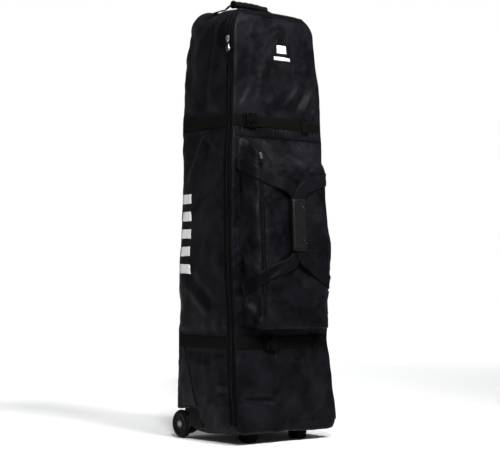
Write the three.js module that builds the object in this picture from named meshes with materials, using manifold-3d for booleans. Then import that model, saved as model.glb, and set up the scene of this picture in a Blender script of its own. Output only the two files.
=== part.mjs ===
// Wheeled soft golf travel case, standing upright.
// Millimetres, +Z up, +X to the right seen from the front, front towards -Y.
// The origin is on the floor under the middle of the case.
import * as THREE from "three";
import { mergeVertices } from "three/addons/utils/BufferGeometryUtils.js";
import Module from "manifold-3d";

const wasm = await Module();
wasm.setup();

// ---------- driving dimensions ----------
const GAP = 0.3; // left between pieces that touch
const BASE_Z = 35; // underside of the fabric body
const TOP_Z = 1324; // top of the fabric body
const REAR_Y = 180; // outside of the back
const FRONT_Y = -142; // outside of the front, carried down to the floor
const FRONT_LEAN = 0.05; // the front leans back this much per unit of height
const HALF_WIDTH = 196.8; // half of the width, carried down to the floor
const SIDE_TAPER = 0.022; // each side leans in this much per unit of height
const WALL = 6; // padded fabric wall
const TOP_CORNER_R = 78; // big rounding of the front view's top corners
const BASE_CORNER_R = 20;
const FRONT_TOP_R = 45; // rounding of the top's front edge, in side view
const REAR_TOP_R = 35;
const ARC_STEPS = 6;

const RIM = 18; // depth of the lid's rim: front face to zip
const HEM_Z = 55; // the lid's hinge line at the front hem
const TOP_SEAM_Z = 1296; // seam between the walls and the top panel
const TAPE_WIDTH = 17;
const TAPE_THICK = 1.2;
const TAPE_BOTTOM_Z = 60;

const STRAP_WIDTH = 38;
const STRAP_THICK = 2;
const STRAP_RAISE = 1.8; // gap from the fabric to a compression strap
const STRAP_PARTING = 8; // each strap end stops this far from the zip
const UPPER_STRAP_Z = 978;
const LOWER_STRAP_Z = 304;

const WHEEL_R = 44;
const WHEEL_WIDTH = 24;
const WHEEL_X = 187; // middle of the tyre
const WHEEL_Y = 158.4;
const WHEEL_SIDES = 28;
const AXLE_R = 4;
const BEARING_R = 11;
const BEARING_WIDTH = 7;
const HUB_R = 25; // where the tyre meets the hub
const WELL_X = 161; // inner wall of the wheel well
const WELL_Y = 101; // front wall of the wheel well
const WELL_Z = 99.5; // roof of the wheel well
const PLASTIC = 3; // moulded wall

const POCKET = {
  base: { half: 162, low: 345, high: 930 },
  face: { half: 128, low: 375, high: 880 },
};
const POCKET_DEPTH = 57;
const POCKET_WALL = 4;
const WRAP = { half: 28, low: 577, high: 735, back: 69, front: 87 };
const HANDLE_Y = 50;
const HANDLE_Z = 1360;

const halfWidthAt = (z) => HALF_WIDTH - SIDE_TAPER * z;
const frontAt = (z) => FRONT_Y + FRONT_LEAN * z;
const zipAt = (z) => frontAt(z) + RIM;

// ---------- solids ----------
function toSolid(geometry) {
  const plain = geometry.index ? geometry.toNonIndexed() : geometry.clone();
  plain.deleteAttribute("normal");
  plain.deleteAttribute("uv");
  const merged = mergeVertices(plain, 1e-3);
  return new wasm.Manifold(
    new wasm.Mesh({
      numProp: 3,
      vertProperties: merged.attributes.position.array,
      triVerts: new Uint32Array(merged.index.array),
    }),
  );
}

function toGeometry(solid) {
  const mesh = solid.getMesh();
  const geometry = new THREE.BufferGeometry();
  geometry.setAttribute("position", new THREE.BufferAttribute(new Float32Array(mesh.vertProperties), 3));
  geometry.setIndex(new THREE.BufferAttribute(new Uint32Array(mesh.triVerts), 1));
  return geometry;
}

const cut = (solid, ...tools) => tools.reduce((left, tool) => left.subtract(tool), solid);
const join = (solid, ...others) => others.reduce((sum, other) => sum.add(other), solid);
const common = (solid, ...tools) => tools.reduce((left, tool) => left.intersect(tool), solid);

// A box from its lowest to its highest corner.
function block(low, high) {
  const size = high.map((value, i) => value - low[i]);
  const geometry = new THREE.BoxGeometry(...size);
  geometry.translate(...low.map((value, i) => value + size[i] / 2));
  return toSolid(geometry);
}

// An outline in X and Z, run along Y from the lower to the higher value.
function alongY(shape, low, high) {
  const geometry = new THREE.ExtrudeGeometry(shape, {
    depth: high - low,
    bevelEnabled: false,
    curveSegments: ARC_STEPS,
  });
  const turn = new THREE.Matrix4().makeBasis(
    new THREE.Vector3(1, 0, 0),
    new THREE.Vector3(0, 0, 1),
    new THREE.Vector3(0, -1, 0),
  );
  geometry.applyMatrix4(turn);
  geometry.translate(0, high, 0);
  return toSolid(geometry);
}

// An outline in Y and Z, run along X from the lower to the higher value.
function alongX(shape, low, high) {
  const geometry = new THREE.ExtrudeGeometry(shape, {
    depth: high - low,
    bevelEnabled: false,
    curveSegments: ARC_STEPS,
  });
  const turn = new THREE.Matrix4().makeBasis(
    new THREE.Vector3(0, 1, 0),
    new THREE.Vector3(0, 0, 1),
    new THREE.Vector3(1, 0, 0),
  );
  geometry.applyMatrix4(turn);
  geometry.translate(low, 0, 0);
  return toSolid(geometry);
}

function polygon(points) {
  return new THREE.Shape(points.map(([a, b]) => new THREE.Vector2(a, b)));
}

// A round bar along X.
function barX(radius, low, high, y, z, sides = 20) {
  const geometry = new THREE.CylinderGeometry(radius, radius, high - low, sides);
  geometry.rotateZ(Math.PI / 2);
  geometry.translate((low + high) / 2, y, z);
  return toSolid(geometry);
}

// A closed solid through rings of points with equal counts, capped at both ends.
function loft(rings) {
  const count = rings[0].length;
  const positions = rings.flat().flatMap((p) => [p.x, p.y, p.z]);
  const faces = [];
  for (let i = 0; i + 1 < rings.length; i++) {
    for (let j = 0; j < count; j++) {
      const a = i * count + j;
      const b = i * count + ((j + 1) % count);
      faces.push(a, b, b + count, a, b + count, a + count);
    }
  }
  const last = (rings.length - 1) * count;
  for (let j = 1; j + 1 < count; j++) {
    faces.push(0, j + 1, j, last, last + j, last + j + 1);
  }
  const geometry = new THREE.BufferGeometry();
  geometry.setAttribute("position", new THREE.Float32BufferAttribute(positions, 3));
  geometry.setIndex(faces);
  const solid = toSolid(geometry);
  if (solid.volume() > 0) return solid;
  for (let i = 0; i < faces.length; i += 3) {
    [faces[i + 1], faces[i + 2]] = [faces[i + 2], faces[i + 1]];
  }
  geometry.setIndex(faces);
  return toSolid(geometry);
}

// A flat band of webbing along points.
// At each point its width lies square to the path and to the outward normal.
function webbing(points, normals, width, thick) {
  const path = points.map((p) => new THREE.Vector3(...p));
  const rings = path.map((p, i) => {
    const before = path[Math.max(i - 1, 0)];
    const after = path[Math.min(i + 1, path.length - 1)];
    const along = after.clone().sub(before).normalize();
    const across = along.clone().cross(normals[i]).normalize();
    const up = across.clone().cross(along).normalize();
    const aside = across.multiplyScalar(width / 2);
    const above = up.multiplyScalar(thick / 2);
    const corner = (a, b) => p.clone().addScaledVector(aside, a).addScaledVector(above, b);
    return [corner(1, 1), corner(-1, 1), corner(-1, -1), corner(1, -1)];
  });
  return loft(rings);
}

// A four-sided frustum in the lid's own frame: half width, low and high at two depths.
function frustum(base, baseDepth, face, faceDepth) {
  const ring = (side, depth) => [
    new THREE.Vector3(-side.half, -depth, side.low),
    new THREE.Vector3(side.half, -depth, side.low),
    new THREE.Vector3(side.half, -depth, side.high),
    new THREE.Vector3(-side.half, -depth, side.high),
  ];
  return loft([ring(base, baseDepth), ring(face, faceDepth)]);
}

const shrink = (side, by) => ({ half: side.half - by, low: side.low + by, high: side.high - by });

// ---------- the body's outlines, grown or shrunk by `by` ----------
function frontOutline(by) {
  const low = BASE_Z - by;
  const high = TOP_Z + by;
  const baseR = BASE_CORNER_R + by;
  const topR = TOP_CORNER_R + by;
  const baseHalf = halfWidthAt(BASE_Z + BASE_CORNER_R) + by - baseR;
  const topHalf = halfWidthAt(TOP_Z - TOP_CORNER_R) + by - topR;
  const shape = new THREE.Shape();
  shape.absarc(baseHalf, low + baseR, baseR, -Math.PI / 2, 0, false);
  shape.absarc(topHalf, high - topR, topR, 0, Math.PI / 2, false);
  shape.absarc(-topHalf, high - topR, topR, Math.PI / 2, Math.PI, false);
  shape.absarc(-baseHalf, low + baseR, baseR, Math.PI, 1.5 * Math.PI, false);
  return shape;
}

function sideOutline(by) {
  const high = TOP_Z + by;
  const rearR = REAR_TOP_R + by;
  const frontR = FRONT_TOP_R + by;
  const shape = new THREE.Shape();
  shape.moveTo(frontAt(BASE_Z) - by, BASE_Z - by);
  shape.lineTo(REAR_Y + by, BASE_Z - by);
  shape.absarc(REAR_Y + by - rearR, high - rearR, rearR, 0, Math.PI / 2, false);
  const frontCentreY = frontAt(TOP_Z - FRONT_TOP_R) - by + frontR;
  shape.absarc(frontCentreY, high - frontR, frontR, Math.PI / 2, Math.PI, false);
  return shape;
}

const REACH = 600; // far past the case sideways
const SKY = 1500; // above everything
const body = (by) =>
  common(alongY(frontOutline(by), -REACH, REACH), alongX(sideOutline(by), -REACH, REACH));
const skin = (inside, outside) => cut(body(outside), body(inside));

// Everything behind or in front of the zip's plane, moved back by `by`.
function behindZip(by) {
  const line = (z) => [zipAt(z) + by, z];
  return alongX(polygon([line(-REACH), [REACH, -REACH], [REACH, SKY], line(SKY)]), -REACH, REACH);
}
function beforeZip(by) {
  const line = (z) => [zipAt(z) + by, z];
  return alongX(polygon([[-REACH, -REACH], line(-REACH), line(SKY), [-REACH, SKY]]), -REACH, REACH);
}
const level = (low, high) => block([-REACH, -REACH, low], [REACH, REACH, high]);
const HALF_GAP = GAP / 2;

// ---------- materials ----------
const finishes = {
  shell_fabric: [0x17161b, 0.62, 0],
  webbing: [0x16160f, 0.8, 0],
  zip_tape: [0x101013, 0.75, 0],
  metal: [0xb9bbbd, 0.28, 1],
  plastic: [0x0e0e0f, 0.45, 0],
  tyre: [0x1a1a1b, 0.7, 0],
  hub: [0x232326, 0.4, 0],
  leatherette: [0x0d0c0d, 0.5, 0],
  board: [0x3a3a3c, 0.7, 0],
  foam: [0x4b4b50, 0.95, 0],
  cord: [0x0b0b0c, 0.85, 0],
};
const materials = Object.fromEntries(
  Object.entries(finishes).map(([name, [color, roughness, metalness]]) => [
    name,
    new THREE.MeshStandardMaterial({ color, roughness, metalness }),
  ]),
);

const travelCase = new THREE.Group();
function place(name, solid, material, group = travelCase) {
  const mesh = new THREE.Mesh(toGeometry(solid), materials[material]);
  mesh.name = name;
  group.add(mesh);
}

// ---------- tub: the walls behind the zip ----------
const wall = skin(-WALL, 0);
const wheelWell = (side) =>
  block(
    side < 0 ? [-REACH, WELL_Y, -REACH] : [WELL_X, WELL_Y, -REACH],
    side < 0 ? [-WELL_X, REACH, WELL_Z] : [REACH, REACH, WELL_Z],
  );
const tub = cut(wall, wheelWell(-1), wheelWell(1));
const backSeamY = REAR_Y - WALL;

function makeTub() {
  const walls = common(tub, behindZip(HALF_GAP), level(HEM_Z + HALF_GAP, TOP_SEAM_Z - HALF_GAP));
  const back = block([-REACH, backSeamY + HALF_GAP, -REACH], [REACH, REACH, SKY]);
  const sides = block([-REACH, -REACH, -REACH], [REACH, backSeamY - HALF_GAP, SKY]);
  const leftHalf = block([-REACH, -REACH, -REACH], [0, REACH, SKY]);
  const rightHalf = block([0, -REACH, -REACH], [REACH, REACH, SKY]);
  place("back_panel", common(walls, back), "shell_fabric");
  place("left_gusset", common(walls, sides, leftHalf), "shell_fabric");
  place("right_gusset", common(walls, sides, rightHalf), "shell_fabric");
  const crown = common(tub, behindZip(HALF_GAP), level(TOP_SEAM_Z + HALF_GAP, SKY));
  place("top_panel", crown, "shell_fabric");
  place("bottom_panel", common(tub, level(-REACH, HEM_Z - HALF_GAP)), "shell_fabric");
  const tape = skin(GAP, GAP + TAPE_THICK);
  const length = level(TAPE_BOTTOM_Z, SKY);
  const strip = common(tape, behindZip(HALF_GAP), beforeZip(TAPE_WIDTH), length);
  place("rear_zip_tape", strip, "zip_tape");
}

const BACK_BOARD = { half: 148, low: 112, high: 1236 };
const BASE_BOARD = { half: 150, front: -118, thick: 4 };
const CROWN_PAD = { half: 90, front: -24, rear: 134, low: 1292 };
const INNER_STRAP = { half: 120, middle: 719 }; // holds the golf bag to the back
const CLASP = { half: 26, height: 48, thick: 9 };
function makeStiffeners() {
  const inside = backSeamY - GAP;
  const backBoard = block(
    [-BACK_BOARD.half, inside - PLASTIC, BACK_BOARD.low],
    [BACK_BOARD.half, inside, BACK_BOARD.high],
  );
  place("back_board", backBoard, "board");
  const floor = BASE_Z + WALL + GAP;
  const baseBoard = block(
    [-BASE_BOARD.half, BASE_BOARD.front, floor],
    [BASE_BOARD.half, WELL_Y - PLASTIC - 1, floor + BASE_BOARD.thick],
  );
  place("base_board", baseBoard, "board");
  const pad = block(
    [-CROWN_PAD.half, CROWN_PAD.front, CROWN_PAD.low],
    [CROWN_PAD.half, CROWN_PAD.rear, TOP_Z - WALL - GAP],
  );
  place("crown_pad", pad, "foam");
  const strapY = inside - PLASTIC - GAP;
  const { half, middle } = INNER_STRAP;
  const strap = block(
    [-half, strapY - STRAP_THICK, middle - STRAP_WIDTH / 2],
    [half, strapY, middle + STRAP_WIDTH / 2],
  );
  place("inner_strap", strap, "webbing");
  const claspY = strapY - STRAP_THICK - GAP;
  const clasp = block(
    [-CLASP.half, claspY - CLASP.thick, middle - CLASP.height / 2],
    [CLASP.half, claspY, middle + CLASP.height / 2],
  );
  place("inner_buckle", clasp, "plastic");
}

// ---------- compression straps ----------
const band = (z) =>
  common(
    skin(STRAP_RAISE, STRAP_RAISE + STRAP_THICK),
    level(z - STRAP_WIDTH / 2, z + STRAP_WIDTH / 2),
  );

function makeRearStraps() {
  place("upper_strap_rear", common(band(UPPER_STRAP_Z), behindZip(STRAP_PARTING)), "webbing");
  place("lower_strap_rear", common(band(LOWER_STRAP_Z), behindZip(STRAP_PARTING)), "webbing");
}

// Buckle: the socket and the adjuster are fixed on the lid, the plug pulls out to the left.
const SOCKET = { length: 30, height: 46, low: 2, high: 13 };
const PLUG = { length: 14, height: 42, low: 3, high: 12 };
const PRONG = { length: 18, height: 8, low: 5, high: 10, offset: 12 };
const ADJUSTER = { length: 26, height: 46, low: 4.2, high: 9.5, rim: 4, slot: 5 };
const BUCKLES = {
  upper: { z: UPPER_STRAP_Z, x: -124, adjuster: 88 },
  lower: { z: LOWER_STRAP_Z, x: -76, adjuster: 108 },
};
const lid = new THREE.Group();
lid.position.set(0, FRONT_Y, 0);
lid.rotation.x = -Math.atan(FRONT_LEAN);
travelCase.add(lid);
const LEAN_STRETCH = Math.hypot(1, FRONT_LEAN);

function makeBuckle(name, { z, x, adjuster }) {
  const middle = z * LEAN_STRETCH;
  const slab = (x0, x1, half, low, high) =>
    block([x0, -high, middle - half], [x1, -low, middle + half]);
  const through = [0, 20];
  const socketBody = slab(x, x + SOCKET.length, SOCKET.height / 2, SOCKET.low, SOCKET.high);
  const mouthEnd = x + PRONG.length + 4;
  const mouth = slab(x - 1, mouthEnd, SOCKET.height / 2 - 3, PRONG.low - 1, PRONG.high + 1);
  const sideWindow = slab(x + 8, x + 20, SOCKET.height, PRONG.low - 0.5, PRONG.high + 0.5);
  place(name + "_buckle_socket", cut(socketBody, mouth, sideWindow), "plastic", lid);
  const end = x - 1;
  const start = end - PLUG.length;
  const plugBody = slab(start, end, PLUG.height / 2, PLUG.low, PLUG.high);
  const barSlot = slab(start + 3, start + 6, PLUG.height / 2 - 4, ...through);
  const prong = (side) =>
    block(
      [end - 1, -PRONG.high, middle + side * PRONG.offset - PRONG.height / 2],
      [end + PRONG.length, -PRONG.low, middle + side * PRONG.offset + PRONG.height / 2],
    );
  place(name + "_buckle_plug", cut(join(plugBody, prong(1), prong(-1)), barSlot), "plastic", lid);
  const tall = ADJUSTER.height / 2;
  const frame = slab(adjuster, adjuster + ADJUSTER.length, tall, ADJUSTER.low, ADJUSTER.high);
  const slotAt = (from) => slab(from, from + ADJUSTER.slot, tall - ADJUSTER.rim, ...through);
  const slotA = slotAt(adjuster + ADJUSTER.slot);
  const slotB = slotAt(adjuster + 3 * ADJUSTER.slot);
  place(name + "_adjuster", cut(frame, slotA, slotB), "plastic", lid);
  const inFront = common(band(z), beforeZip(-STRAP_PARTING));
  const leftOfPlug = block([-REACH, -REACH, 0], [start - GAP, REACH, SKY]);
  const rightOfSocket = block([x + SOCKET.length + GAP, -REACH, 0], [REACH, REACH, SKY]);
  place(name + "_buckle_tail", common(inFront, leftOfPlug), "webbing");
  place(name + "_strap_front", common(inFront, rightOfSocket), "webbing");
}

// ---------- lid: front panel, pocket and carrying handle ----------
function makeLid() {
  const panel = common(wall, beforeZip(-HALF_GAP), level(HEM_Z + HALF_GAP, SKY));
  place("front_panel", panel, "shell_fabric");
  const tape = skin(GAP, GAP + TAPE_THICK);
  const length = level(TAPE_BOTTOM_Z, SKY);
  const strip = common(tape, beforeZip(-HALF_GAP), behindZip(-TAPE_WIDTH), length);
  place("front_zip_tape", strip, "zip_tape");
}

const ZIP_STRIP = { half: 5, low: 385, high: 877, thick: 1.4 };
const FACE_BEVEL = { side: 16, depth: 2.2 };
function makePocket() {
  const { base, face } = POCKET;
  const outside = frustum(base, GAP, face, POCKET_DEPTH);
  const hollow = frustum(
    shrink(base, POCKET_WALL),
    GAP - 1,
    shrink(face, POCKET_WALL),
    POCKET_DEPTH + 1,
  );
  place("pocket_gusset", cut(outside, hollow), "shell_fabric", lid);
  const onRim = POCKET_DEPTH + GAP;
  const rim = { half: face.half - ZIP_STRIP.half * 2 - 1, low: face.low, high: face.high };
  const cover = frustum(rim, onRim, shrink(rim, FACE_BEVEL.side), onRim + FACE_BEVEL.depth);
  place("pocket_face", cover, "shell_fabric", lid);
  const zipX = -face.half + ZIP_STRIP.half;
  const strip = block(
    [zipX - ZIP_STRIP.half, -onRim - ZIP_STRIP.thick, ZIP_STRIP.low],
    [zipX + ZIP_STRIP.half, -onRim, ZIP_STRIP.high],
  );
  place("pocket_zip_tape", strip, "zip_tape", lid);
}

const HAUL_RAISE = 11; // gap from the pocket's edge to a haul strap, where the pocket's slider passes
const HAUL_DEPTHS = { left: 76, right: 80 }; // the right strap lies on the left one inside the wrap
// Each haul strap starts in the pocket's edge seam, runs through the wrap and back to the seam.
function makeHaulStrap(name, side, depth) {
  const { base, face } = POCKET;
  const ahead = new THREE.Vector3(0, -1, 0);
  const aside = new THREE.Vector3(side * POCKET_DEPTH, face.half - base.half, 0).normalize();
  const between = ahead.clone().add(aside).normalize();
  const seamX = side * (base.half + 1);
  const edgeX = side * (face.half + HAUL_RAISE);
  const edgeY = -POCKET_DEPTH - HAUL_RAISE;
  const route = [
    [seamX, -14, 846],
    [edgeX, edgeY, 822],
    [side * 30, 1 - depth, WRAP.high + 36],
    [side * 3, -depth, WRAP.high + 9],
    [side * 3, -depth, WRAP.low - 9],
    [side * 30, 1 - depth, WRAP.low - 36],
    [edgeX, edgeY, 490],
    [seamX, -14, 430],
  ];
  const normals = [aside, between, ahead, ahead, ahead, ahead, between, aside];
  place(name, webbing(route, normals, STRAP_WIDTH, STRAP_THICK), "webbing", lid);
}

const SNAP = { x: 14, radius: 6, thick: 1.4, fromEnd: 27 };
const FLAP_THICK = 1.6;
const WRAP_THICK = 3;
function makeHandleWrap() {
  const sleeve = block([-WRAP.half, -WRAP.front, WRAP.low], [WRAP.half, -WRAP.back, WRAP.high]);
  const inside = block(
    [-WRAP.half + WRAP_THICK, -WRAP.front + WRAP_THICK, WRAP.low - 1],
    [WRAP.half - WRAP_THICK, -WRAP.back - WRAP_THICK, WRAP.high + 1],
  );
  place("handle_wrap", cut(sleeve, inside), "leatherette", lid);
  const flapBack = WRAP.front + GAP;
  const flap = block(
    [-WRAP.half, -flapBack - FLAP_THICK, WRAP.low + 2],
    [WRAP.half - 4, -flapBack, WRAP.high - 2],
  );
  place("wrap_flap", flap, "leatherette", lid);
  const snapHeights = { upper: WRAP.high - SNAP.fromEnd, lower: WRAP.low + SNAP.fromEnd };
  for (const [name, z] of Object.entries(snapHeights)) {
    const disc = new THREE.CylinderGeometry(SNAP.radius, SNAP.radius - 1, SNAP.thick, 16);
    disc.translate(SNAP.x, -flapBack - FLAP_THICK - GAP - SNAP.thick / 2, z);
    place(name + "_snap_cap", toSolid(disc), "metal", lid);
  }
}

// ---------- top grab handle ----------
const ARCH = { foot: 112, knee: 84, width: 20, thick: 2.4 };
const GRIP = { half: 72, radius: 12.5 };
const TAB = { near: 4, far: 34, half: 15, thick: 2 }; // box-stitched end of the handle's webbing
function makeTopHandle() {
  const up = new THREE.Vector3(0, 0, 1);
  const normals = [up, up, up, up];
  const footZ = TOP_Z + GAP + ARCH.thick / 2 + GAP;
  const arch = webbing(
    [
      [-ARCH.foot, HANDLE_Y, footZ],
      [-ARCH.knee, HANDLE_Y, HANDLE_Z],
      [ARCH.knee, HANDLE_Y, HANDLE_Z],
      [ARCH.foot, HANDLE_Y, footZ],
    ],
    normals,
    ARCH.width,
    ARCH.thick,
  );
  place("top_handle_webbing", arch, "webbing");
  const slot = block(
    [-REACH, HANDLE_Y - ARCH.width / 2 - GAP, HANDLE_Z - ARCH.thick / 2 - GAP],
    [REACH, HANDLE_Y + ARCH.width / 2 + GAP, HANDLE_Z + ARCH.thick / 2 + GAP],
  );
  const core = barX(GRIP.radius, -GRIP.half, GRIP.half, HANDLE_Y, HANDLE_Z);
  place("top_handle_grip", cut(core, slot), "webbing");
  for (const [name, side] of [["left", -1], ["right", 1]]) {
    const near = side * (ARCH.foot + TAB.near);
    const far = side * (ARCH.foot + TAB.far);
    const tab = block(
      [Math.min(near, far), HANDLE_Y - TAB.half, TOP_Z + GAP],
      [Math.max(near, far), HANDLE_Y + TAB.half, TOP_Z + GAP + TAB.thick],
    );
    place(name + "_handle_tab", tab, "webbing");
  }
}

// ---------- zip sliders and pulls ----------
const SLIDER = { length: 24, width: 12, low: 1.8, high: 4.5 };
const BRIDGE = { offset: 3.4, half: 1.2, rise: 1.5, reach: 4 }; // the loop that holds the pull
const PULL = { length: 44, top: 6.5, width: 5, thick: 2.2 };
const PULL_LIFT = 5; // the upper pull hangs over the lower slider
const SLIDER_HEIGHTS = { upper: 1228, lower: 1200 };

// On the left side: local X points out of the side, Y to the front and Z up the zip.
function makeMainSlider(name, z, pullSide, pullRaise) {
  const up = new THREE.Vector3(SIDE_TAPER, FRONT_LEAN, 1).normalize();
  const out = new THREE.Vector3(-1, 0, SIDE_TAPER).normalize();
  const forward = up.clone().cross(out).normalize();
  const frame = new THREE.Group();
  frame.applyMatrix4(new THREE.Matrix4().makeBasis(out, forward, up));
  frame.position.set(-halfWidthAt(z), zipAt(z), z);
  travelCase.add(frame);
  const plate = block(
    [SLIDER.low, -SLIDER.width / 2, -SLIDER.length / 2],
    [SLIDER.high, SLIDER.width / 2, SLIDER.length / 2],
  );
  const middle = pullSide * BRIDGE.offset;
  const bridge = block(
    [SLIDER.high - 1, middle - BRIDGE.half, -BRIDGE.reach],
    [SLIDER.high + BRIDGE.rise + pullRaise, middle + BRIDGE.half, BRIDGE.reach],
  );
  place("main_" + name + "_slider", join(plate, bridge), "metal", frame);
  const back = SLIDER.high + GAP + pullRaise;
  const tab = block(
    [back, middle - PULL.width / 2, -PULL.length],
    [back + PULL.thick, middle + PULL.width / 2, -PULL.top],
  );
  place("main_" + name + "_pull", tab, "cord", frame);
}

const POCKET_SLIDER = { fromTop: 12, half: 4, thick: 3, reach: 9 };
const POCKET_PULL = { top: 4, length: 22, half: 2.5, thick: 1.7 };
function makePocketSlider() {
  const x = -POCKET.face.half + ZIP_STRIP.half;
  const z = ZIP_STRIP.high - POCKET_SLIDER.fromTop;
  const back = POCKET_DEPTH + GAP + ZIP_STRIP.thick + GAP;
  const top = back + POCKET_SLIDER.thick;
  const plate = block(
    [x - POCKET_SLIDER.half, -top, z - POCKET_SLIDER.reach],
    [x + POCKET_SLIDER.half, -back, z + POCKET_SLIDER.reach],
  );
  const bridge = block([x - BRIDGE.half, -top - BRIDGE.rise, z - 2], [x + BRIDGE.half, -top + 1, z + 5]);
  place("pocket_slider", join(plate, bridge), "metal", lid);
  const tab = block(
    [x - POCKET_PULL.half, -top - GAP - POCKET_PULL.thick, z - POCKET_PULL.length],
    [x + POCKET_PULL.half, -top - GAP, z - POCKET_PULL.top],
  );
  place("pocket_pull", tab, "cord", lid);
}

// ---------- wheels, housings, feet and kick plate ----------
// Turns a profile of [radius, x] points about the wheel's axle.
function turned(profile, x) {
  const points = profile.map(([radius, along]) => new THREE.Vector2(radius, along));
  points.push(points[0].clone());
  const geometry = new THREE.LatheGeometry(points, WHEEL_SIDES);
  geometry.rotateZ(-Math.PI / 2);
  geometry.translate(x, WHEEL_Y, WHEEL_R);
  return toSolid(geometry);
}

function makeWheel(name, side) {
  const middle = side * WHEEL_X;
  const half = WHEEL_WIDTH / 2;
  const ring = (inner, outer, from, to) => [[inner, from], [outer, from], [outer, to], [inner, to]];
  const tread = [
    [HUB_R, -half + 1],
    [34, -half],
    [39.5, -half + 3.5],
    [43, -half + 8],
    [WHEEL_R, 0],
    [43, half - 8],
    [39.5, half - 3.5],
    [34, half],
    [HUB_R, half - 1],
  ];
  const core = [
    [BEARING_R + GAP, -half + 1.5],
    [16, -half + 1.5],
    [18, -half + 5],
    [HUB_R - GAP, -half + 4],
    [HUB_R - GAP, half - 4],
    [18, half - 5],
    [16, half - 1.5],
    [BEARING_R + GAP, half - 1.5],
  ];
  place(name + "_tyre", turned(tread, middle), "tyre");
  place(name + "_hub", turned(core, middle), "hub");
  const race = ring(AXLE_R + GAP, BEARING_R, -BEARING_WIDTH / 2, BEARING_WIDTH / 2);
  const offset = half - 2 - BEARING_WIDTH / 2;
  place(name + "_bearing_outer", turned(race, middle + side * offset), "metal");
  place(name + "_bearing_inner", turned(race, middle - side * offset), "metal");
}

const spanX = (side, near, far) => (side < 0 ? [-far, -near] : [near, far]);

const HOUSING = { outer: 199.2, rear: 184, low: 14, front: 30, boss: 10 };
const FLANGE = { front: 34, low: 42 }; // the housing's wing along the side, before the wheel
const BOLT = { inner: WELL_X + 1, outer: 199.6, head: 8, headThick: 2 };
function makeHousing(name, side) {
  const piece = (near, far, y0, y1, z0, z1) => {
    const [x0, x1] = spanX(side, near, far);
    return block([x0, y0, z0], [x1, y1, z1]);
  };
  const { outer, rear } = HOUSING;
  const near = WELL_X + GAP;
  const front = WELL_Y + GAP;
  const roof = WELL_Z - GAP;
  const sideX = halfWidthAt(BASE_Z) + GAP;
  const walls = [
    piece(near, near + PLASTIC, front, rear, HOUSING.low, roof),
    piece(near, outer, front, front + PLASTIC, HOUSING.front, roof),
    piece(near, outer - 2, front, rear + 2, roof - PLASTIC, roof),
    piece(sideX, outer, FLANGE.front, front + PLASTIC, FLANGE.low, roof),
  ];
  const [b0, b1] = spanX(side, near, WHEEL_X - WHEEL_WIDTH / 2 + 1);
  const boss = barX(HOUSING.boss, b0, b1, WHEEL_Y, WHEEL_R);
  const bore = barX(AXLE_R + GAP, b0 - 5, b1 + 5, WHEEL_Y, WHEEL_R);
  place(name + "_wheel_housing", cut(join(...walls, boss), bore), "plastic");
  const [s0, s1] = spanX(side, BOLT.inner, BOLT.outer);
  const [h0, h1] = spanX(side, BOLT.outer - BOLT.headThick, BOLT.outer);
  const bolt = barX(AXLE_R, s0, s1, WHEEL_Y, WHEEL_R);
  const head = barX(BOLT.head, h0, h1, WHEEL_Y, WHEEL_R);
  place(name + "_axle", join(bolt, head), "metal");
}

const FOOT = { x: 97, y: -63, halfX: 21, halfY: 25 };
function makeFoot(name, side) {
  const ring = (halfX, halfY, z) => [
    new THREE.Vector3(side * FOOT.x - halfX, FOOT.y - halfY, z),
    new THREE.Vector3(side * FOOT.x + halfX, FOOT.y - halfY, z),
    new THREE.Vector3(side * FOOT.x + halfX, FOOT.y + halfY, z),
    new THREE.Vector3(side * FOOT.x - halfX, FOOT.y + halfY, z),
  ];
  const pad = loft([
    ring(FOOT.halfX - 6, FOOT.halfY - 6, 0),
    ring(FOOT.halfX - 2, FOOT.halfY - 2, 6),
    ring(FOOT.halfX, FOOT.halfY, BASE_Z - GAP),
  ]);
  place(name + "_foot", pad, "plastic");
}

const KICK = { low: 44, step: 104, high: 205, lowHalf: 156, half: 184, topHalf: 182, thick: 3.5 };
function makeKickPlate() {
  const rightEdge = [
    [KICK.lowHalf, KICK.low],
    [KICK.lowHalf, KICK.step],
    [KICK.half, KICK.step],
    [KICK.topHalf, KICK.high],
  ];
  const leftEdge = rightEdge.map(([x, z]) => [-x, z]).reverse();
  const outline = polygon([...rightEdge, ...leftEdge]);
  place("kick_plate", alongY(outline, REAR_Y + GAP, REAR_Y + GAP + KICK.thick), "plastic");
}

// ---------- assembly ----------
makeTub();
makeStiffeners();
makeRearStraps();
makeLid();
makePocket();
makeHaulStrap("left_haul_strap", -1, HAUL_DEPTHS.left);
makeHaulStrap("right_haul_strap", 1, HAUL_DEPTHS.right);
makeHandleWrap();
for (const [name, buckle] of Object.entries(BUCKLES)) makeBuckle(name, buckle);
makeTopHandle();
makeMainSlider("upper", SLIDER_HEIGHTS.upper, 1, PULL_LIFT);
makeMainSlider("lower", SLIDER_HEIGHTS.lower, -1, 0);
makePocketSlider();
for (const [name, side] of [["left", -1], ["right", 1]]) {
  makeWheel(name, side);
  makeHousing(name, side);
  makeFoot(name, side);
}
makeKickPlate();

export default travelCase;
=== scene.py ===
"""Wheeled soft golf travel case: fabric, webbing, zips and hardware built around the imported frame."""

import math

import bmesh
import bpy
import numpy as np
from mathutils import Matrix, Vector, noise
from mathutils.bvhtree import BVHTree


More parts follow.
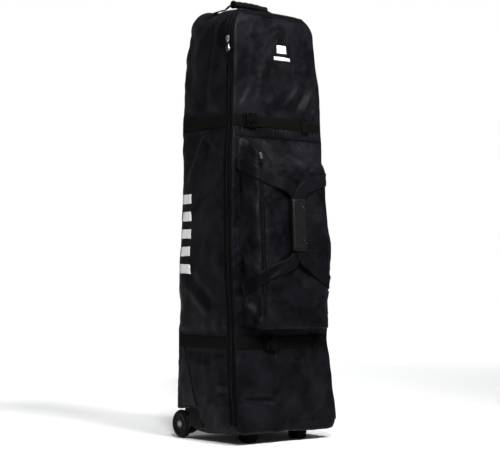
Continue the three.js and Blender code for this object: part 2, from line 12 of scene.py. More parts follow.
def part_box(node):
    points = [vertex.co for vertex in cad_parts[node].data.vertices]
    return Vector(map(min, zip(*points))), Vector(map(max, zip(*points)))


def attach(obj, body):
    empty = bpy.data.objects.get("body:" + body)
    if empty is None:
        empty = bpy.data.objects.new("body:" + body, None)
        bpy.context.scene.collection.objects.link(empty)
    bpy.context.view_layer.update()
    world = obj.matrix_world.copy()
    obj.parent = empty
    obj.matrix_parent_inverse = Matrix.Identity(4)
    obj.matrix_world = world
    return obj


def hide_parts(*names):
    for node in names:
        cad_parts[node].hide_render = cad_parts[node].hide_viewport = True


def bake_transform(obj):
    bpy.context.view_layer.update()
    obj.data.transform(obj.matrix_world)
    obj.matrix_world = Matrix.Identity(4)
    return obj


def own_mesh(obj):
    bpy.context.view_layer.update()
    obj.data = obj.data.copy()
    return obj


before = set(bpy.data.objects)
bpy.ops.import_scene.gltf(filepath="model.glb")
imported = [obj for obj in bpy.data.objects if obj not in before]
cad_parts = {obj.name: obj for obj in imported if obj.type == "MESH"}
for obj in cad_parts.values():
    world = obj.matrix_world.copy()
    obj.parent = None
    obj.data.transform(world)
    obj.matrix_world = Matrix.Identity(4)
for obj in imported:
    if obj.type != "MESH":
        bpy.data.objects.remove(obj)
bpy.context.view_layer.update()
scene = bpy.context.scene

# ---------- the body's dimensions, in metres ----------
LEAN = 0.05  # how far the front leans back, per metre of height
FRONT = -0.142  # the front face's Y at the floor
HALF = 0.1968  # half the width at the floor
TAPER = 0.022  # how much half the width shrinks, per metre of height
REAR = 0.180
BASE = 0.035
TOP = 1.324
BASE_R = 0.020
TOP_R = 0.078
FRONT_TOP_R = 0.045
REAR_TOP_R = 0.035
RIM = 0.018  # from the front edge back to the zip
HEM = 0.055  # the height where the lid is hinged
STRAPS = {"upper": 0.978, "lower": 0.304}
STRAP_W = 0.038
WELL_X, WELL_Y, WELL_Z = 0.161, 0.101, 0.0995  # the inner corner of the wheel wells
HANDLE_Y, GRIP_Z = 0.05, 1.3625
TILT = math.atan(LEAN)

ARC_Z = TOP - TOP_R
BASE_HALF = HALF - TAPER * HEM - BASE_R
TOP_HALF = HALF - TAPER * ARC_Z - TOP_R
FRONT_ARC_Z = TOP - FRONT_TOP_R
FRONT_ARC_Y = FRONT + LEAN * FRONT_ARC_Z + FRONT_TOP_R


def arc(radius, offset):
    """How far a circle reaches sideways at an offset from its centre."""
    return math.sqrt(max(radius**2 - offset**2, 0))


def half_at(z):
    """Half the width of the case at a height."""
    if z < HEM:
        return BASE_HALF + arc(BASE_R, HEM - z)
    if z <= ARC_Z:
        return HALF - TAPER * z
    return TOP_HALF + arc(TOP_R, z - ARC_Z)


def front_at(z):
    """The front face's Y at a height; it curves back under the top."""
    if z <= FRONT_ARC_Z:
        return FRONT + LEAN * z
    return FRONT_ARC_Y - arc(FRONT_TOP_R, z - FRONT_ARC_Z)


def rear_at(z):
    low = TOP - REAR_TOP_R
    if z <= low:
        return REAR
    return REAR - REAR_TOP_R + arc(REAR_TOP_R, z - low)


def zip_at(z):
    """The zip line's Y on the sides at a height."""
    return FRONT + LEAN * z + RIM


def on_lid(x, depth, z):
    """A point of the lid's own leaning frame: depth is outwards from the front face."""
    y = FRONT + z * math.sin(TILT) - depth * math.cos(TILT)
    return Vector((x, y, z * math.cos(TILT) + depth * math.sin(TILT)))


LID_OUT = Vector((0, -math.cos(TILT), math.sin(TILT)))
LID_UP = Vector((0, math.sin(TILT), math.cos(TILT)))


def smooth(t):
    t = np.clip(t, 0, 1)
    return t * t * (3 - 2 * t)


# ---------- materials ----------
def new_material(name):
    mat = bpy.data.materials.new(name)
    mat.use_nodes = True
    tree = mat.node_tree
    shader = tree.nodes["Principled BSDF"]
    return mat, tree, shader


def link(tree, a, b):
    tree.links.new(a, b)


def node(tree, kind, **values):
    made = tree.nodes.new(kind)
    for key, value in values.items():
        if key in made.inputs:
            made.inputs[key].default_value = value
        else:
            setattr(made, key, value)
    return made


def ramp(tree, source, stops):
    made = tree.nodes.new("ShaderNodeValToRGB")
    elements = made.color_ramp.elements
    while len(elements) < len(stops):
        elements.new(0.5)
    for element, (position, color) in zip(elements, stops):
        element.position = position
        element.color = (*color, 1)
    link(tree, source, made.inputs["Fac"])
    return made.outputs["Color"]


def link_or_set(tree, socket, source):
    """Feeds a socket from another node's output, or sets it to a plain number."""
    if isinstance(source, (int, float)):
        socket.default_value = source
    else:
        link(tree, source, socket)


def maths(tree, operation, *sources):
    made = node(tree, "ShaderNodeMath", operation=operation)
    for socket, source in zip(made.inputs, sources):
        link_or_set(tree, socket, source)
    return made.outputs[0]


def noise_texture(tree, position, **values):
    made = node(tree, "ShaderNodeTexNoise", **values)
    link(tree, position, made.inputs["Vector"])
    return made.outputs["Fac"]


def bump(tree, height, strength, distance):
    made = node(tree, "ShaderNodeBump", Strength=strength, Distance=distance)
    link(tree, height, made.inputs["Height"])
    return made


def grey(value):
    return (value, value, value)


def set_inputs(shader, values):
    for name, value in values.items():
        shader.inputs[name].default_value = value


def woven_coordinates(tree):
    """Object coordinates as (along, 0, up), so that a weave runs over front and side faces alike."""
    position = node(tree, "ShaderNodeTexCoord").outputs["Object"]
    split = node(tree, "ShaderNodeSeparateXYZ")
    link(tree, position, split.inputs[0])
    x, y, z = split.outputs
    join = node(tree, "ShaderNodeCombineXYZ")
    link(tree, maths(tree, "ADD", x, y), join.inputs["X"])
    link(tree, maths(tree, "MULTIPLY_ADD", y, 0.35, z), join.inputs["Z"])
    return position, join.outputs[0]


def threads(tree, vector, direction, per_metre):
    """One set of parallel threads, as bands across a direction."""
    made = node(
        tree,
        "ShaderNodeTexWave",
        wave_type="BANDS",
        bands_direction=direction,
        Scale=per_metre / 20 * 2 * math.pi,
        Distortion=0.0,
        Detail=1.0,
    )
    link(tree, vector, made.inputs["Vector"])
    return made.outputs["Fac"]


def fabric(
    name,
    light,
    dark,
    roughness,
    warp,
    weft,
    relief_strength,
    sheen=0.25,
    sheen_tint=(0.7, 0.7, 0.85),
    spread=(9.0, 45.0),
    gloss=1.12,
    wrinkle=0.0,
    fade=(0.36, 0.66),
):
    """A woven cloth: two crossing sets of threads (warp and weft, per metre), and broad and fine blotches in
    its colour that are partly its own uneven tone and partly painted light and shade standing in for the soft
    shading of wrinkles.
    """
    mat, tree, shader = new_material(name)
    position, woven = woven_coordinates(tree)
    weave = maths(tree, "MULTIPLY", threads(tree, woven, "X", warp), threads(tree, woven, "Z", weft))
    broad = noise_texture(tree, position, Scale=spread[0], Detail=4.0, Roughness=0.55)
    fine = noise_texture(tree, position, Scale=spread[1], Detail=6.0, Roughness=0.7)
    # Broad and fine noise through a dark-to-light ramp: partly the cloth's uneven tone, partly painted light
    # and shade blotches; the fade stops set how strong they are.
    tone_and_painted_shade = maths(tree, "MULTIPLY_ADD", broad, 0.7, maths(tree, "MULTIPLY", fine, 0.3))
    tint = node(tree, "ShaderNodeMix", data_type="RGBA", blend_type="MULTIPLY")
    tint.inputs["Factor"].default_value = 1.0
    link(tree, ramp(tree, tone_and_painted_shade, [(fade[0], dark), (fade[1], light)]), tint.inputs["A"])
    link(tree, ramp(tree, weave, [(0.0, grey(0.72)), (0.7, grey(1.08))]), tint.inputs["B"])
    link(tree, tint.outputs["Result"], shader.inputs["Base Color"])
    rough = ramp(tree, fine, [(0.3, grey(roughness - 0.07)), (0.7, grey(roughness + 0.08))])
    link(tree, rough, shader.inputs["Roughness"])
    relief = bump(tree, maths(tree, "MULTIPLY_ADD", fine, 0.5, weave), relief_strength, 0.0008)
    if wrinkle:
        crumple = noise_texture(
            tree,
            position,
            noise_type="RIDGED_MULTIFRACTAL",
            Scale=13.0,
            Detail=4.0,
            Roughness=0.55,
            Distortion=0.7,
        )
        creases = bump(tree, crumple, wrinkle, 0.004)
        link(tree, creases.outputs["Normal"], relief.inputs["Normal"])
    link(tree, relief.outputs["Normal"], shader.inputs["Normal"])
    set_inputs(
        shader,
        {"Sheen Weight": sheen, "Sheen Roughness": 0.45, "Sheen Tint": (*sheen_tint, 1), "IOR": gloss},
    )
    return mat


def moulded(name, light, dark, roughness, relief_strength, grain=900.0, metallic=0.0, gloss=0.2):
    """Moulded plastic, rubber or metal: fine grain, and paler wear in broad patches."""
    mat, tree, shader = new_material(name)
    position = node(tree, "ShaderNodeTexCoord").outputs["Object"]
    broad = noise_texture(tree, position, Scale=30.0, Detail=5.0, Roughness=0.6)
    fine = noise_texture(tree, position, Scale=grain, Detail=3.0, Roughness=0.6)
    link(tree, ramp(tree, broad, [(0.35, dark), (0.7, light)]), shader.inputs["Base Color"])
    rough = ramp(
        tree, broad, [(0.3, grey(max(roughness - 0.08, 0.03))), (0.7, grey(roughness + 0.1))]
    )
    link(tree, rough, shader.inputs["Roughness"])
    relief = bump(tree, fine, relief_strength, 0.0003)
    link(tree, relief.outputs["Normal"], shader.inputs["Normal"])
    set_inputs(
        shader,
        {"Metallic": metallic, "Specular IOR Level": gloss, "IOR": 1.5 if metallic else 1.3},
    )
    return mat


def leather(name, light, dark):
    """Soft imitation leather: a pebbled grain with small creases."""
    mat, tree, shader = new_material(name)
    position = node(tree, "ShaderNodeTexCoord").outputs["Object"]
    cells = node(tree, "ShaderNodeTexVoronoi", Scale=520.0, feature="DISTANCE_TO_EDGE")
    link(tree, position, cells.inputs["Vector"])
    crease = noise_texture(tree, position, Scale=70.0, Detail=6.0, Roughness=0.65)
    link(tree, ramp(tree, crease, [(0.35, dark), (0.7, light)]), shader.inputs["Base Color"])
    relief = bump(tree, maths(tree, "MULTIPLY_ADD", cells.outputs["Distance"], 1.6, crease), 0.55, 0.0006)
    link(tree, relief.outputs["Normal"], shader.inputs["Normal"])
    rough = ramp(tree, crease, [(0.3, grey(0.34)), (0.7, grey(0.52))])
    link(tree, rough, shader.inputs["Roughness"])
    set_inputs(shader, {"Specular IOR Level": 0.25, "IOR": 1.3})
    return mat


# The shell and the haul straps take a wide dark-to-light span over narrow fade stops: strong painted light
# and shade blotches in the colour of the cloth.
SHELL = fabric(
    "shell_nylon",
    (0.0052, 0.0052, 0.0071),
    (0.0010, 0.0010, 0.0018),
    0.46,
    900,
    900,
    0.16,
    sheen=0.006,
    spread=(13.0, 60.0),
    gloss=1.135,
    wrinkle=0.42,
    fade=(0.41, 0.61),
)
HAUL = fabric(
    "haul_nylon",
    (0.0034, 0.0034, 0.0046),
    (0.0014, 0.0014, 0.0020),
    0.5,
    900,
    900,
    0.2,
    sheen=0.004,
    gloss=1.11,
    wrinkle=0.2,
    fade=(0.40, 0.62),
)
LINING = fabric("lining", (0.030, 0.030, 0.033), (0.020, 0.020, 0.022), 0.7, 500, 500, 0.2, sheen=0.02)
WEBBING = fabric(
    "ribbed_webbing",
    (0.0030, 0.0030, 0.0026),
    (0.0014, 0.0014, 0.0012),
    0.7,
    420,
    620,
    0.7,
    sheen=0.008,
    sheen_tint=(0.8, 0.8, 0.7),
    gloss=1.09,
)
GRIP = fabric(
    "grip_cloth", (0.0040, 0.0040, 0.0046), (0.0022, 0.0022, 0.0026), 0.6, 600, 600, 0.5, sheen=0.01
)
TAPE = fabric(
    "zip_tape_cloth", (0.0024, 0.0024, 0.0029), (0.0014, 0.0014, 0.0018), 0.66, 700, 1100, 0.5,
    sheen=0.004, gloss=1.08,
)
CORD = fabric(
    "braided_cord", (0.004, 0.004, 0.0045), (0.002, 0.002, 0.0022), 0.7, 1500, 1100, 0.9, sheen=0.01
)
THREAD = fabric(
    "stitching", (0.006, 0.006, 0.007), (0.004, 0.004, 0.0048), 0.5, 2000, 2000, 0.4, sheen=0.01
)
PRINT = fabric(
    "white_print", (0.62, 0.62, 0.63), (0.54, 0.54, 0.55), 0.6, 900, 900, 0.15, sheen=0.0, gloss=1.3
)
FOAM = fabric("foam_pad", (0.07, 0.07, 0.074), (0.05, 0.05, 0.053), 0.9, 300, 300, 0.3, sheen=0.02)
COIL = moulded("zip_coil", (0.005, 0.005, 0.006), (0.003, 0.003, 0.0036), 0.4, 0.1, gloss=0.15)
PLASTIC = moulded(
    "moulded_plastic", (0.0022, 0.0022, 0.0024), (0.0012, 0.0012, 0.0013), 0.34, 0.3, gloss=0.1
)
FEET = moulded("foot_rubber", (0.0050, 0.0052, 0.0052), (0.0028, 0.0030, 0.0030), 0.6, 0.5, gloss=0.06)
TYRE = moulded(
    "tyre_polyurethane", (0.0030, 0.0031, 0.0031), (0.0017, 0.0018, 0.0018), 0.45, 0.35, 500.0, gloss=0.12
)
HUB = moulded("hub_plastic", (0.0070, 0.0070, 0.0074), (0.0045, 0.0045, 0.0048), 0.36, 0.2, gloss=0.2)
METAL = moulded("satin_nickel", (0.30, 0.31, 0.33), (0.15, 0.155, 0.17), 0.26, 0.08, 700.0, 1.0)
GUNMETAL = moulded("blackened_snap", (0.05, 0.05, 0.053), (0.02, 0.02, 0.022), 0.3, 0.08, 700.0, 1.0)
BOARD = moulded("sheet_plastic", (0.045, 0.045, 0.048), (0.03, 0.03, 0.032), 0.6, 0.2, 400.0, gloss=0.3)
LEATHER = leather("leatherette", (0.0046, 0.0045, 0.0050), (0.0024, 0.0023, 0.0026))


# ---------- mesh helpers ----------
def make(name, verts, faces, material, shade_smooth=True, extra=()):
    mesh = bpy.data.meshes.new(name)
    mesh.from_pydata([tuple(map(float, v)) for v in verts], [], [tuple(map(int, f)) for f in faces])
    mesh.update()
    mesh.polygons.foreach_set("use_smooth", [shade_smooth] * len(mesh.polygons))
    mesh.materials.append(material)
    for more in extra:
        mesh.materials.append(more)
    made = bpy.data.objects.new(name, mesh)
    scene.collection.objects.link(made)
    return made


def outward(made):
    bm = bmesh.new()
    bm.from_mesh(made.data)
    bmesh.ops.recalc_face_normals(bm, faces=bm.faces)
    bm.to_mesh(made.data)
    bm.free()
    return made


def apply_modifiers(made):
    graph = bpy.context.evaluated_depsgraph_get()
    mesh = bpy.data.meshes.new_from_object(made.evaluated_get(graph))
    old = made.data
    made.modifiers.clear()
    made.data = mesh
    bpy.data.meshes.remove(old)
    return made


def bevel(made, width, segments=3, angle=30, weld=False):
    if weld:
        made.modifiers.new("weld", "WELD").merge_threshold = 1e-5
    mod = made.modifiers.new("bevel", "BEVEL")
    mod.width = width
    mod.segments = segments
    mod.limit_method = "ANGLE"
    mod.angle_limit = math.radians(angle)
    mod.harden_normals = False
    return made


def line_inside(made, thick):
    """Thickens a skin inwards; the inner face takes the second material."""
    mod = made.modifiers.new("padding", "SOLIDIFY")
    mod.thickness = thick
    mod.offset = -1
    mod.use_rim = True
    mod.material_offset = 1
    mod.material_offset_rim = 0
    return apply_modifiers(made)


def subdivide(made):
    mod = made.modifiers.new("subdivision", "SUBSURF")
    mod.levels = 1
    mod.render_levels = 1
    return made


def grid_faces(rows, cols, close_rows=False, close_cols=False, start=0):
    faces = []
    for r in range(rows if close_rows else rows - 1):
        for c in range(cols if close_cols else cols - 1):
            r2, c2 = (r + 1) % rows, (c + 1) % cols
            faces.append(
                (start + r * cols + c, start + r * cols + c2, start + r2 * cols + c2, start + r2 * cols + c)
            )
    return faces


def sweep(sections, cap=True, closed=False):
    """Verts and faces through rings with equal counts."""
    rings = np.array(sections, float)
    n, m = rings.shape[:2]
    verts = rings.reshape(-1, 3)
    faces = grid_faces(n, m, close_rows=closed, close_cols=True)
    if cap and not closed:
        faces += [tuple(range(m - 1, -1, -1)), tuple((n - 1) * m + i for i in range(m))]
    return verts, faces


def tangents(points):
    points = np.array(points, float)
    t = np.gradient(points, axis=0)
    return t / np.maximum(np.linalg.norm(t, axis=1, keepdims=True), 1e-9)


def unit(v):
    v = np.array(v, float)
    return v / np.maximum(np.linalg.norm(v, axis=-1, keepdims=True), 1e-9)


def full_turn(count):
    """Equally spaced angles round a circle."""
    return [2 * math.pi * i / count for i in range(count)]


def tube(name, points, radius, material, closed=False):
    """A round cord of eight sides along points."""
    points = np.array(points, float)
    t = tangents(points)
    side = np.cross(t, [0.0, 0.0, 1.0])
    weak = np.linalg.norm(side, axis=1) < 0.25
    side[weak] = np.cross(t[weak], [1.0, 0.0, 0.0])
    for i in range(1, len(side)):
        if side[i] @ side[i - 1] < 0:
            side[i] = -side[i]
    side = unit(side)
    up = np.cross(side, t)
    rings = [
        [p + radius * (math.cos(a) * s + math.sin(a) * u) for a in full_turn(8)]
        for p, s, u in zip(points, side, up)
    ]
    verts, faces = sweep(rings, cap=not closed, closed=closed)
    return outward(make(name, verts, faces, material))


def distances_along(points):
    return np.concatenate([[0], np.cumsum(np.linalg.norm(np.diff(points, axis=0), axis=1))])


def resample(points, step):
    points = np.array(points, float)
    lengths = distances_along(points)
    count = max(int(round(lengths[-1] / step)), 2)
    at = np.linspace(0, lengths[-1], count + 1)
    return np.stack([np.interp(at, lengths, points[:, k]) for k in range(3)], axis=1)


def soften(points, times=4):
    points = np.array(points, float)
    for _ in range(times):
        middle = (points[:-2] + points[2:]) / 2
        points[1:-1] += 0.5 * (middle - points[1:-1])
    return points


def spline(points, per=8):
    """A smooth curve through points."""
    p = np.array(points, float)
    p = np.vstack([2 * p[0] - p[1], p, 2 * p[-1] - p[-2]])
    out = []
    for i in range(1, len(p) - 2):
        for k in range(per):
            t = k / per
            a, b, c, d = p[i - 1], p[i], p[i + 1], p[i + 2]
            straight = 2 * b + (c - a) * t
            bent = (2 * a - 5 * b + 4 * c - d) * t * t
            out.append(0.5 * (straight + bent + (3 * b - a - 3 * c + d) * t**3))
    out.append(p[-2])
    return np.array(out)


def ribbon(name, points, normals, width, thick, cols=9, ribs=0.0002):
    """Webbing along points: its underside lies on them, its edges are rounded."""
    points, normals = np.array(points, float), unit(normals)
    t = tangents(points)
    across = unit(np.cross(normals, t))
    normals = unit(np.cross(t, across))
    rings = []
    for p, n, a in zip(points, normals, across):
        top, bottom = [], []
        for i in range(cols):
            s = -1 + 2 * i / (cols - 1)
            edge = thick * 0.32 * max(0, abs(s) - 0.8) / 0.2
            rise = ribs if i % 2 else 0
            bottom.append(p + a * s * width / 2 + n * edge)
            top.append(p + a * s * width / 2 + n * (thick - edge + rise))
        rings.append(bottom + top[::-1])
    verts, faces = sweep(rings)
    return outward(make(name, verts, faces, WEBBING))


def sheet_solid(name, grid, thick, material, flip=False):
    """A closed slab over a grid of points, thickened outwards."""
    grid = np.array(grid, float)
    n, m = grid.shape[:2]
    du = np.gradient(grid, axis=0)
    dv = np.gradient(grid, axis=1)
    normal = unit(np.cross(dv, du) if flip else np.cross(du, dv))
    top = grid + normal * thick
    verts = np.vstack([grid.reshape(-1, 3), top.reshape(-1, 3)])
    faces = [f[::-1] for f in grid_faces(n, m)] + grid_faces(n, m, start=n * m)
    loop = (
        list(range(m))
        + [r * m + m - 1 for r in range(1, n)]
        + [(n - 1) * m + c for c in range(m - 2, -1, -1)]
        + [r * m for r in range(n - 2, 0, -1)]
    )
    for a, b in zip(loop, loop[1:] + loop[:1]):
        faces.append((a, b, b + n * m, a + n * m))
    return outward(make(name, verts, faces, material))


def block_at(centre, axes, sizes):
    """Eight corners and six faces of a box with its own axes."""
    c = np.array(centre, float)
    u, v, w = [np.array(axis, float) * size / 2 for axis, size in zip(axes, sizes)]
    verts = [c + i * u + j * v + k * w for i in (-1, 1) for j in (-1, 1) for k in (-1, 1)]
    faces = [(0, 1, 3, 2), (4, 6, 7, 5), (0, 4, 5, 1), (2, 3, 7, 6), (0, 2, 6, 4), (1, 5, 7, 3)]
    return verts, faces


def gather(name, blocks, material):
    verts, faces = [], []
    for v, f in blocks:
        base = len(verts)
        verts += list(v)
        faces += [tuple(base + i for i in face) for face in f]
    return outward(make(name, verts, faces, material))


def stitches(name, points, normals, length=0.0042, gap=0.0026, size=0.0009):
    """A row of thread stitches lying along points."""
    points, normals = np.array(points, float), unit(normals)
    lengths = distances_along(points)
    t = tangents(points)

    def value_at(place, values):
        return np.array([np.interp(place, lengths, values[:, k]) for k in range(3)])

    blocks = []
    at = gap
    while at + length < lengths[-1]:
        middle = at + length / 2
        p = value_at(middle, points)
        n = unit(value_at(middle, normals))
        d = unit(value_at(middle, t))
        side = np.cross(d, n)
        blocks.append(block_at(p + n * size * 0.35, (d, side, n), (length, size, size)))
        at += length + gap
    return gather(name, blocks, THREAD)


def lathe(name, profile, centre, material, segments):
    """Turns a closed profile of (radius, along) about the X axis through centre."""
    x, y, z = centre
    rings = []
    for a in full_turn(segments):
        rings.append([(x + along, y + r * math.cos(a), z + r * math.sin(a)) for r, along in profile])
    verts, faces = sweep(rings, closed=True)
    return outward(make(name, verts, faces, material))


def finish_piece(made, body, slot, *nodes):
    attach(made, body)
    if nodes:
        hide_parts(*nodes)
    return made


# ---------- the fabric body as one structured skin ----------
def zip_row():
    """The height where the zip line meets the curve of the front's top edge."""
    low, high = FRONT_ARC_Z, TOP
    for _ in range(50):
        middle = (low + high) / 2
        if front_at(middle) < zip_at(middle):
            low = middle
        else:
            high = middle
    return low


ZIP_Z = zip_row()
RIM_COLS, MID_COLS, WELL_COLS = 3, 28, 10
EDGE_COLS, FACE_COLS = 5, 46


def row_heights():
    rows = [HEM - BASE_R * math.cos(math.radians(a)) for a in (0, 30, 60, 90)]
    rows += list(np.linspace(HEM, WELL_Z, 8))[1:]
    rows += list(np.linspace(WELL_Z, ARC_Z, 166))[1:]
    arc = [ARC_Z + TOP_R * math.sin(math.radians(a)) for a in np.linspace(0, 90, 25)[1:]]
    nearest = int(np.argmin([abs(z - ZIP_Z) for z in arc]))
    arc[nearest] = ZIP_Z
    return rows + arc


def row_depths(z):
    start, end = front_at(z), rear_at(z)
    seam = max(zip_at(z), start)
    return np.concatenate(
        [
            np.linspace(start, seam, RIM_COLS + 1),
            np.linspace(seam, WELL_Y, MID_COLS + 1)[1:],
            np.linspace(WELL_Y, end, WELL_COLS + 1)[1:],
        ]
    )


def row_widths(z):
    half = half_at(z)
    inner = min(WELL_X, 0.83 * half)
    return np.concatenate(
        [
            np.linspace(-half, -inner, EDGE_COLS + 1),
            np.linspace(-inner, inner, FACE_COLS + 1)[1:],
            np.linspace(inner, half, EDGE_COLS + 1)[1:],
        ]
    )


HEIGHTS = row_heights()
DEPTHS = [row_depths(z) for z in HEIGHTS]
WIDTHS = [row_widths(z) for z in HEIGHTS]
store, skin_points = {}, []


def corner(x, y, z):
    """The index of a point of the skin; points at the same place are shared."""
    key = (round(x * 1e5), round(y * 1e5), round(z * 1e5))
    if key not in store:
        store[key] = len(skin_points)
        skin_points.append((x, y, z))
    return store[key]


front_ids = [[corner(x, front_at(z), z) for x in w] for z, w in zip(HEIGHTS, WIDTHS)]
back_ids = [[corner(x, rear_at(z), z) for x in w] for z, w in zip(HEIGHTS, WIDTHS)]
left_ids = [[corner(-half_at(z), y, z) for y in d] for z, d in zip(HEIGHTS, DEPTHS)]
right_ids = [[corner(half_at(z), y, z) for y in d] for z, d in zip(HEIGHTS, DEPTHS)]
top_ids = [[corner(x, y, TOP) for x in WIDTHS[-1]] for y in DEPTHS[-1]]
base_ids = [[corner(x, y, BASE) for x in WIDTHS[0]] for y in DEPTHS[0]]
nominal = np.array(skin_points, float)

skin_faces, skin_part = [], []


def add_faces(ids, turned, lid_cols):
    """Quads between the grid's points; the first lid_cols columns belong to the lid."""
    for r in range(len(ids) - 1):
        for c in range(len(ids[0]) - 1):
            quad = [ids[r][c], ids[r][c + 1], ids[r + 1][c + 1], ids[r + 1][c]]
            if turned:
                quad = quad[::-1]
            clean = [v for i, v in enumerate(quad) if v != quad[i - 1]]
            if len(set(clean)) < 3:
                continue
            middle = nominal[clean].mean(0)
            if abs(middle[0]) > WELL_X and middle[1] > WELL_Y and middle[2] < WELL_Z:
                continue
            skin_faces.append(tuple(clean))
            in_front_of_zip = c < lid_cols and HEM < middle[2] < ZIP_Z
            skin_part.append("lid" if in_front_of_zip else "tub")


add_faces(front_ids, False, len(front_ids[0]))
add_faces(back_ids, True, 0)
add_faces(left_ids, True, RIM_COLS)
add_faces(right_ids, False, RIM_COLS)
add_faces(top_ids, False, 0)
add_faces(base_ids, True, 0)

edge_set = set()
for face in skin_faces:
    for a, b in zip(face, face[1:] + face[:1]):
        edge_set.add((min(a, b), max(a, b)))
EDGES = np.array(sorted(edge_set))
degree = np.bincount(EDGES.ravel(), minlength=len(nominal)).astype(float)
degree[degree == 0] = 1


def relax(points, mask, times, strength=0.5):
    """Moves points towards the middle of their neighbours, as far as the mask allows."""
    for _ in range(times):
        total = np.zeros_like(points)
        np.add.at(total, EDGES[:, 0], points[EDGES[:, 1]])
        np.add.at(total, EDGES[:, 1], points[EDGES[:, 0]])
        points = points + (total / degree[:, None] - points) * (strength * mask)[:, None]
    return points


def point_normals(points, faces):
    total = np.zeros_like(points)
    quads = np.array([f if len(f) == 4 else (*f, f[-1]) for f in faces])
    a, b, c, d = [points[quads[:, k]] for k in range(4)]
    cross = np.cross(c - a, d - b)
    for k in range(4):
        np.add.at(total, quads[:, k], cross)
    return unit(total)


X, Y, Z = nominal.T
halves = np.array([half_at(z) for z in Z])
fronts = np.array([front_at(z) for z in Z])
rears = np.array([rear_at(z) for z in Z])
from_side = halves - abs(X)
to_front = np.hypot(from_side, Y - fronts)
to_rear = np.hypot(from_side, rears - Y)
to_base = Z - BASE
in_well = (abs(X) > WELL_X - 0.006) & (Y > WELL_Y - 0.006) & (Z < WELL_Z + 0.006)
steady = np.where(in_well, 0.0, 1.0)

skin = nominal.copy()
skin = relax(skin, smooth(1.3 - to_rear / 0.028) * steady, 5)
skin = relax(skin, smooth(1.2 - to_front / 0.020), 5)
skin = relax(skin, smooth(1.2 - to_base / 0.03) * steady, 5)

# The padded top stands higher than the nominal one, from just below its edge.
TOP_RAISE, TOP_RAISE_FROM = 0.007, 1.288
# How far the upright corners lean in and out at each height, in metres: the left front corner (NEAR),
# the right front corner (FAR) and the left rear corner (BACK).
NEAR_Z = [0.05, 0.2, 0.345, 0.46, 0.58, 0.73, 0.85, 0.975, 1.13, 1.25, 1.324]
NEAR_SHIFT = [0.002, -0.002, -0.005, -0.010, -0.013, -0.011, -0.008, -0.003, 0.003, 0.006, 0.0]
FAR_Z = [0.06, 0.085, 0.12, 0.15, 0.21, 0.27, 0.304, 0.37, 0.43, 0.5, 0.9, 1.0, 1.13, 1.25, 1.324]
FAR_SHIFT = [0.0, -0.001, -0.004, -0.007, -0.011, -0.016, -0.019, -0.015]
FAR_SHIFT += [-0.012, -0.008, -0.006, -0.004, -0.007, -0.016, -0.002]
NEAR_SIDEWAYS, FAR_SIDEWAYS, CORNER_FORWARD = 0.5, 0.65, 0.75


def fading(distance, width):
    """1 at no distance, falling off like a bell."""
    return np.exp(-((distance / width) ** 2))


def around(point, width):
    """1 at a point of the case, fading with distance from it."""
    return fading(np.linalg.norm(nominal - np.array(point), axis=1), width)


near = np.interp(Z, NEAR_Z, NEAR_SHIFT) * fading(np.hypot(X + halves, Y - fronts), 0.075)
far = np.interp(Z, FAR_Z, FAR_SHIFT) * fading(np.hypot(X - halves, Y - fronts), 0.085)
skin[:, 0] += near * NEAR_SIDEWAYS + far * FAR_SIDEWAYS
BACK_Z = [0.25, 0.40, 0.50, 0.56, 0.8, 1.0, 1.15, 1.195, 1.24, 1.275, 1.30, 1.324]
BACK_SHIFT = [0.0, -0.003, -0.008, -0.006, -0.002, -0.001, 0.001, 0.006, 0.017, 0.021, 0.013, 0.004]
skin[:, 0] += np.interp(Z, BACK_Z, BACK_SHIFT) * fading(np.hypot(X + halves, Y - rears), 0.10)
# The base sags at the right front corner and in front of the left wheel.
skin[:, 2] -= 0.006 * around((0.125, -0.12, 0.035), 0.075)
skin[:, 2] -= 0.013 * around((-0.180, 0.030, 0.040), 0.095) * steady * (Z < WELL_Z)
under_handle = np.exp(-((X / 0.105) ** 4)) * np.exp(-(((Y - HANDLE_Y) / 0.062) ** 4))
skin[:, 2] += TOP_RAISE * smooth((Z - TOP_RAISE_FROM) / 0.034) * (1 - 0.95 * under_handle)
skin[:, 1] += -near * CORNER_FORWARD - far * CORNER_FORWARD

# Between the straps the padded faces bulge, and at the straps they are drawn in.
n0 = point_normals(skin, skin_faces)
strap_gap = np.min([abs(Z - z) for z in STRAPS.values()], axis=0)
free = smooth((strap_gap - STRAP_W * 0.55) / 0.028)


def lobe(low, high):
    """A swelling between two heights."""
    t = np.clip((Z - low) / (high - low), 0, 1)
    return np.sin(math.pi * t) ** 0.8


facing_front = np.clip(-n0[:, 1], 0, 1) ** 2
facing_back = np.clip(n0[:, 1], 0, 1) ** 2
facing_side = np.clip(abs(n0[:, 0]), 0, 1) ** 2
across_front = np.clip(np.cos(math.pi / 2 * np.clip(X / np.maximum(halves, 0.01), -1, 1)), 0, 1) ** 0.7
depth_share = np.clip((Y - fronts) / np.maximum(rears - fronts, 0.01), 0, 1)
across_side = np.sin(math.pi * depth_share) ** 0.8
push = facing_front * across_front * (0.006 * lobe(0.06, 0.285) + 0.006 * lobe(1.0, 1.30))
push += facing_side * across_side * (
    0.004 * lobe(0.06, 0.285) + 0.006 * lobe(0.323, 0.959) + 0.004 * lobe(0.997, 1.30)
)
push += facing_back * across_front * 0.003 * (lobe(0.323, 0.959) + lobe(0.997, 1.29))
push -= 0.0025 * facing_side * across_side * fading(strap_gap, 0.05)
# The top's left edge is filled out, most of all at its rear corner.
push += 0.019 * around((-0.142, 0.122, 1.318), 0.046)
push += 0.007 * around((-0.150, 0.02, 1.302), 0.045)
facing_up = np.clip(n0[:, 2], 0, 1) ** 2
push += facing_up * 0.004 * across_front * np.sin(math.pi * depth_share) * (1 - under_handle)


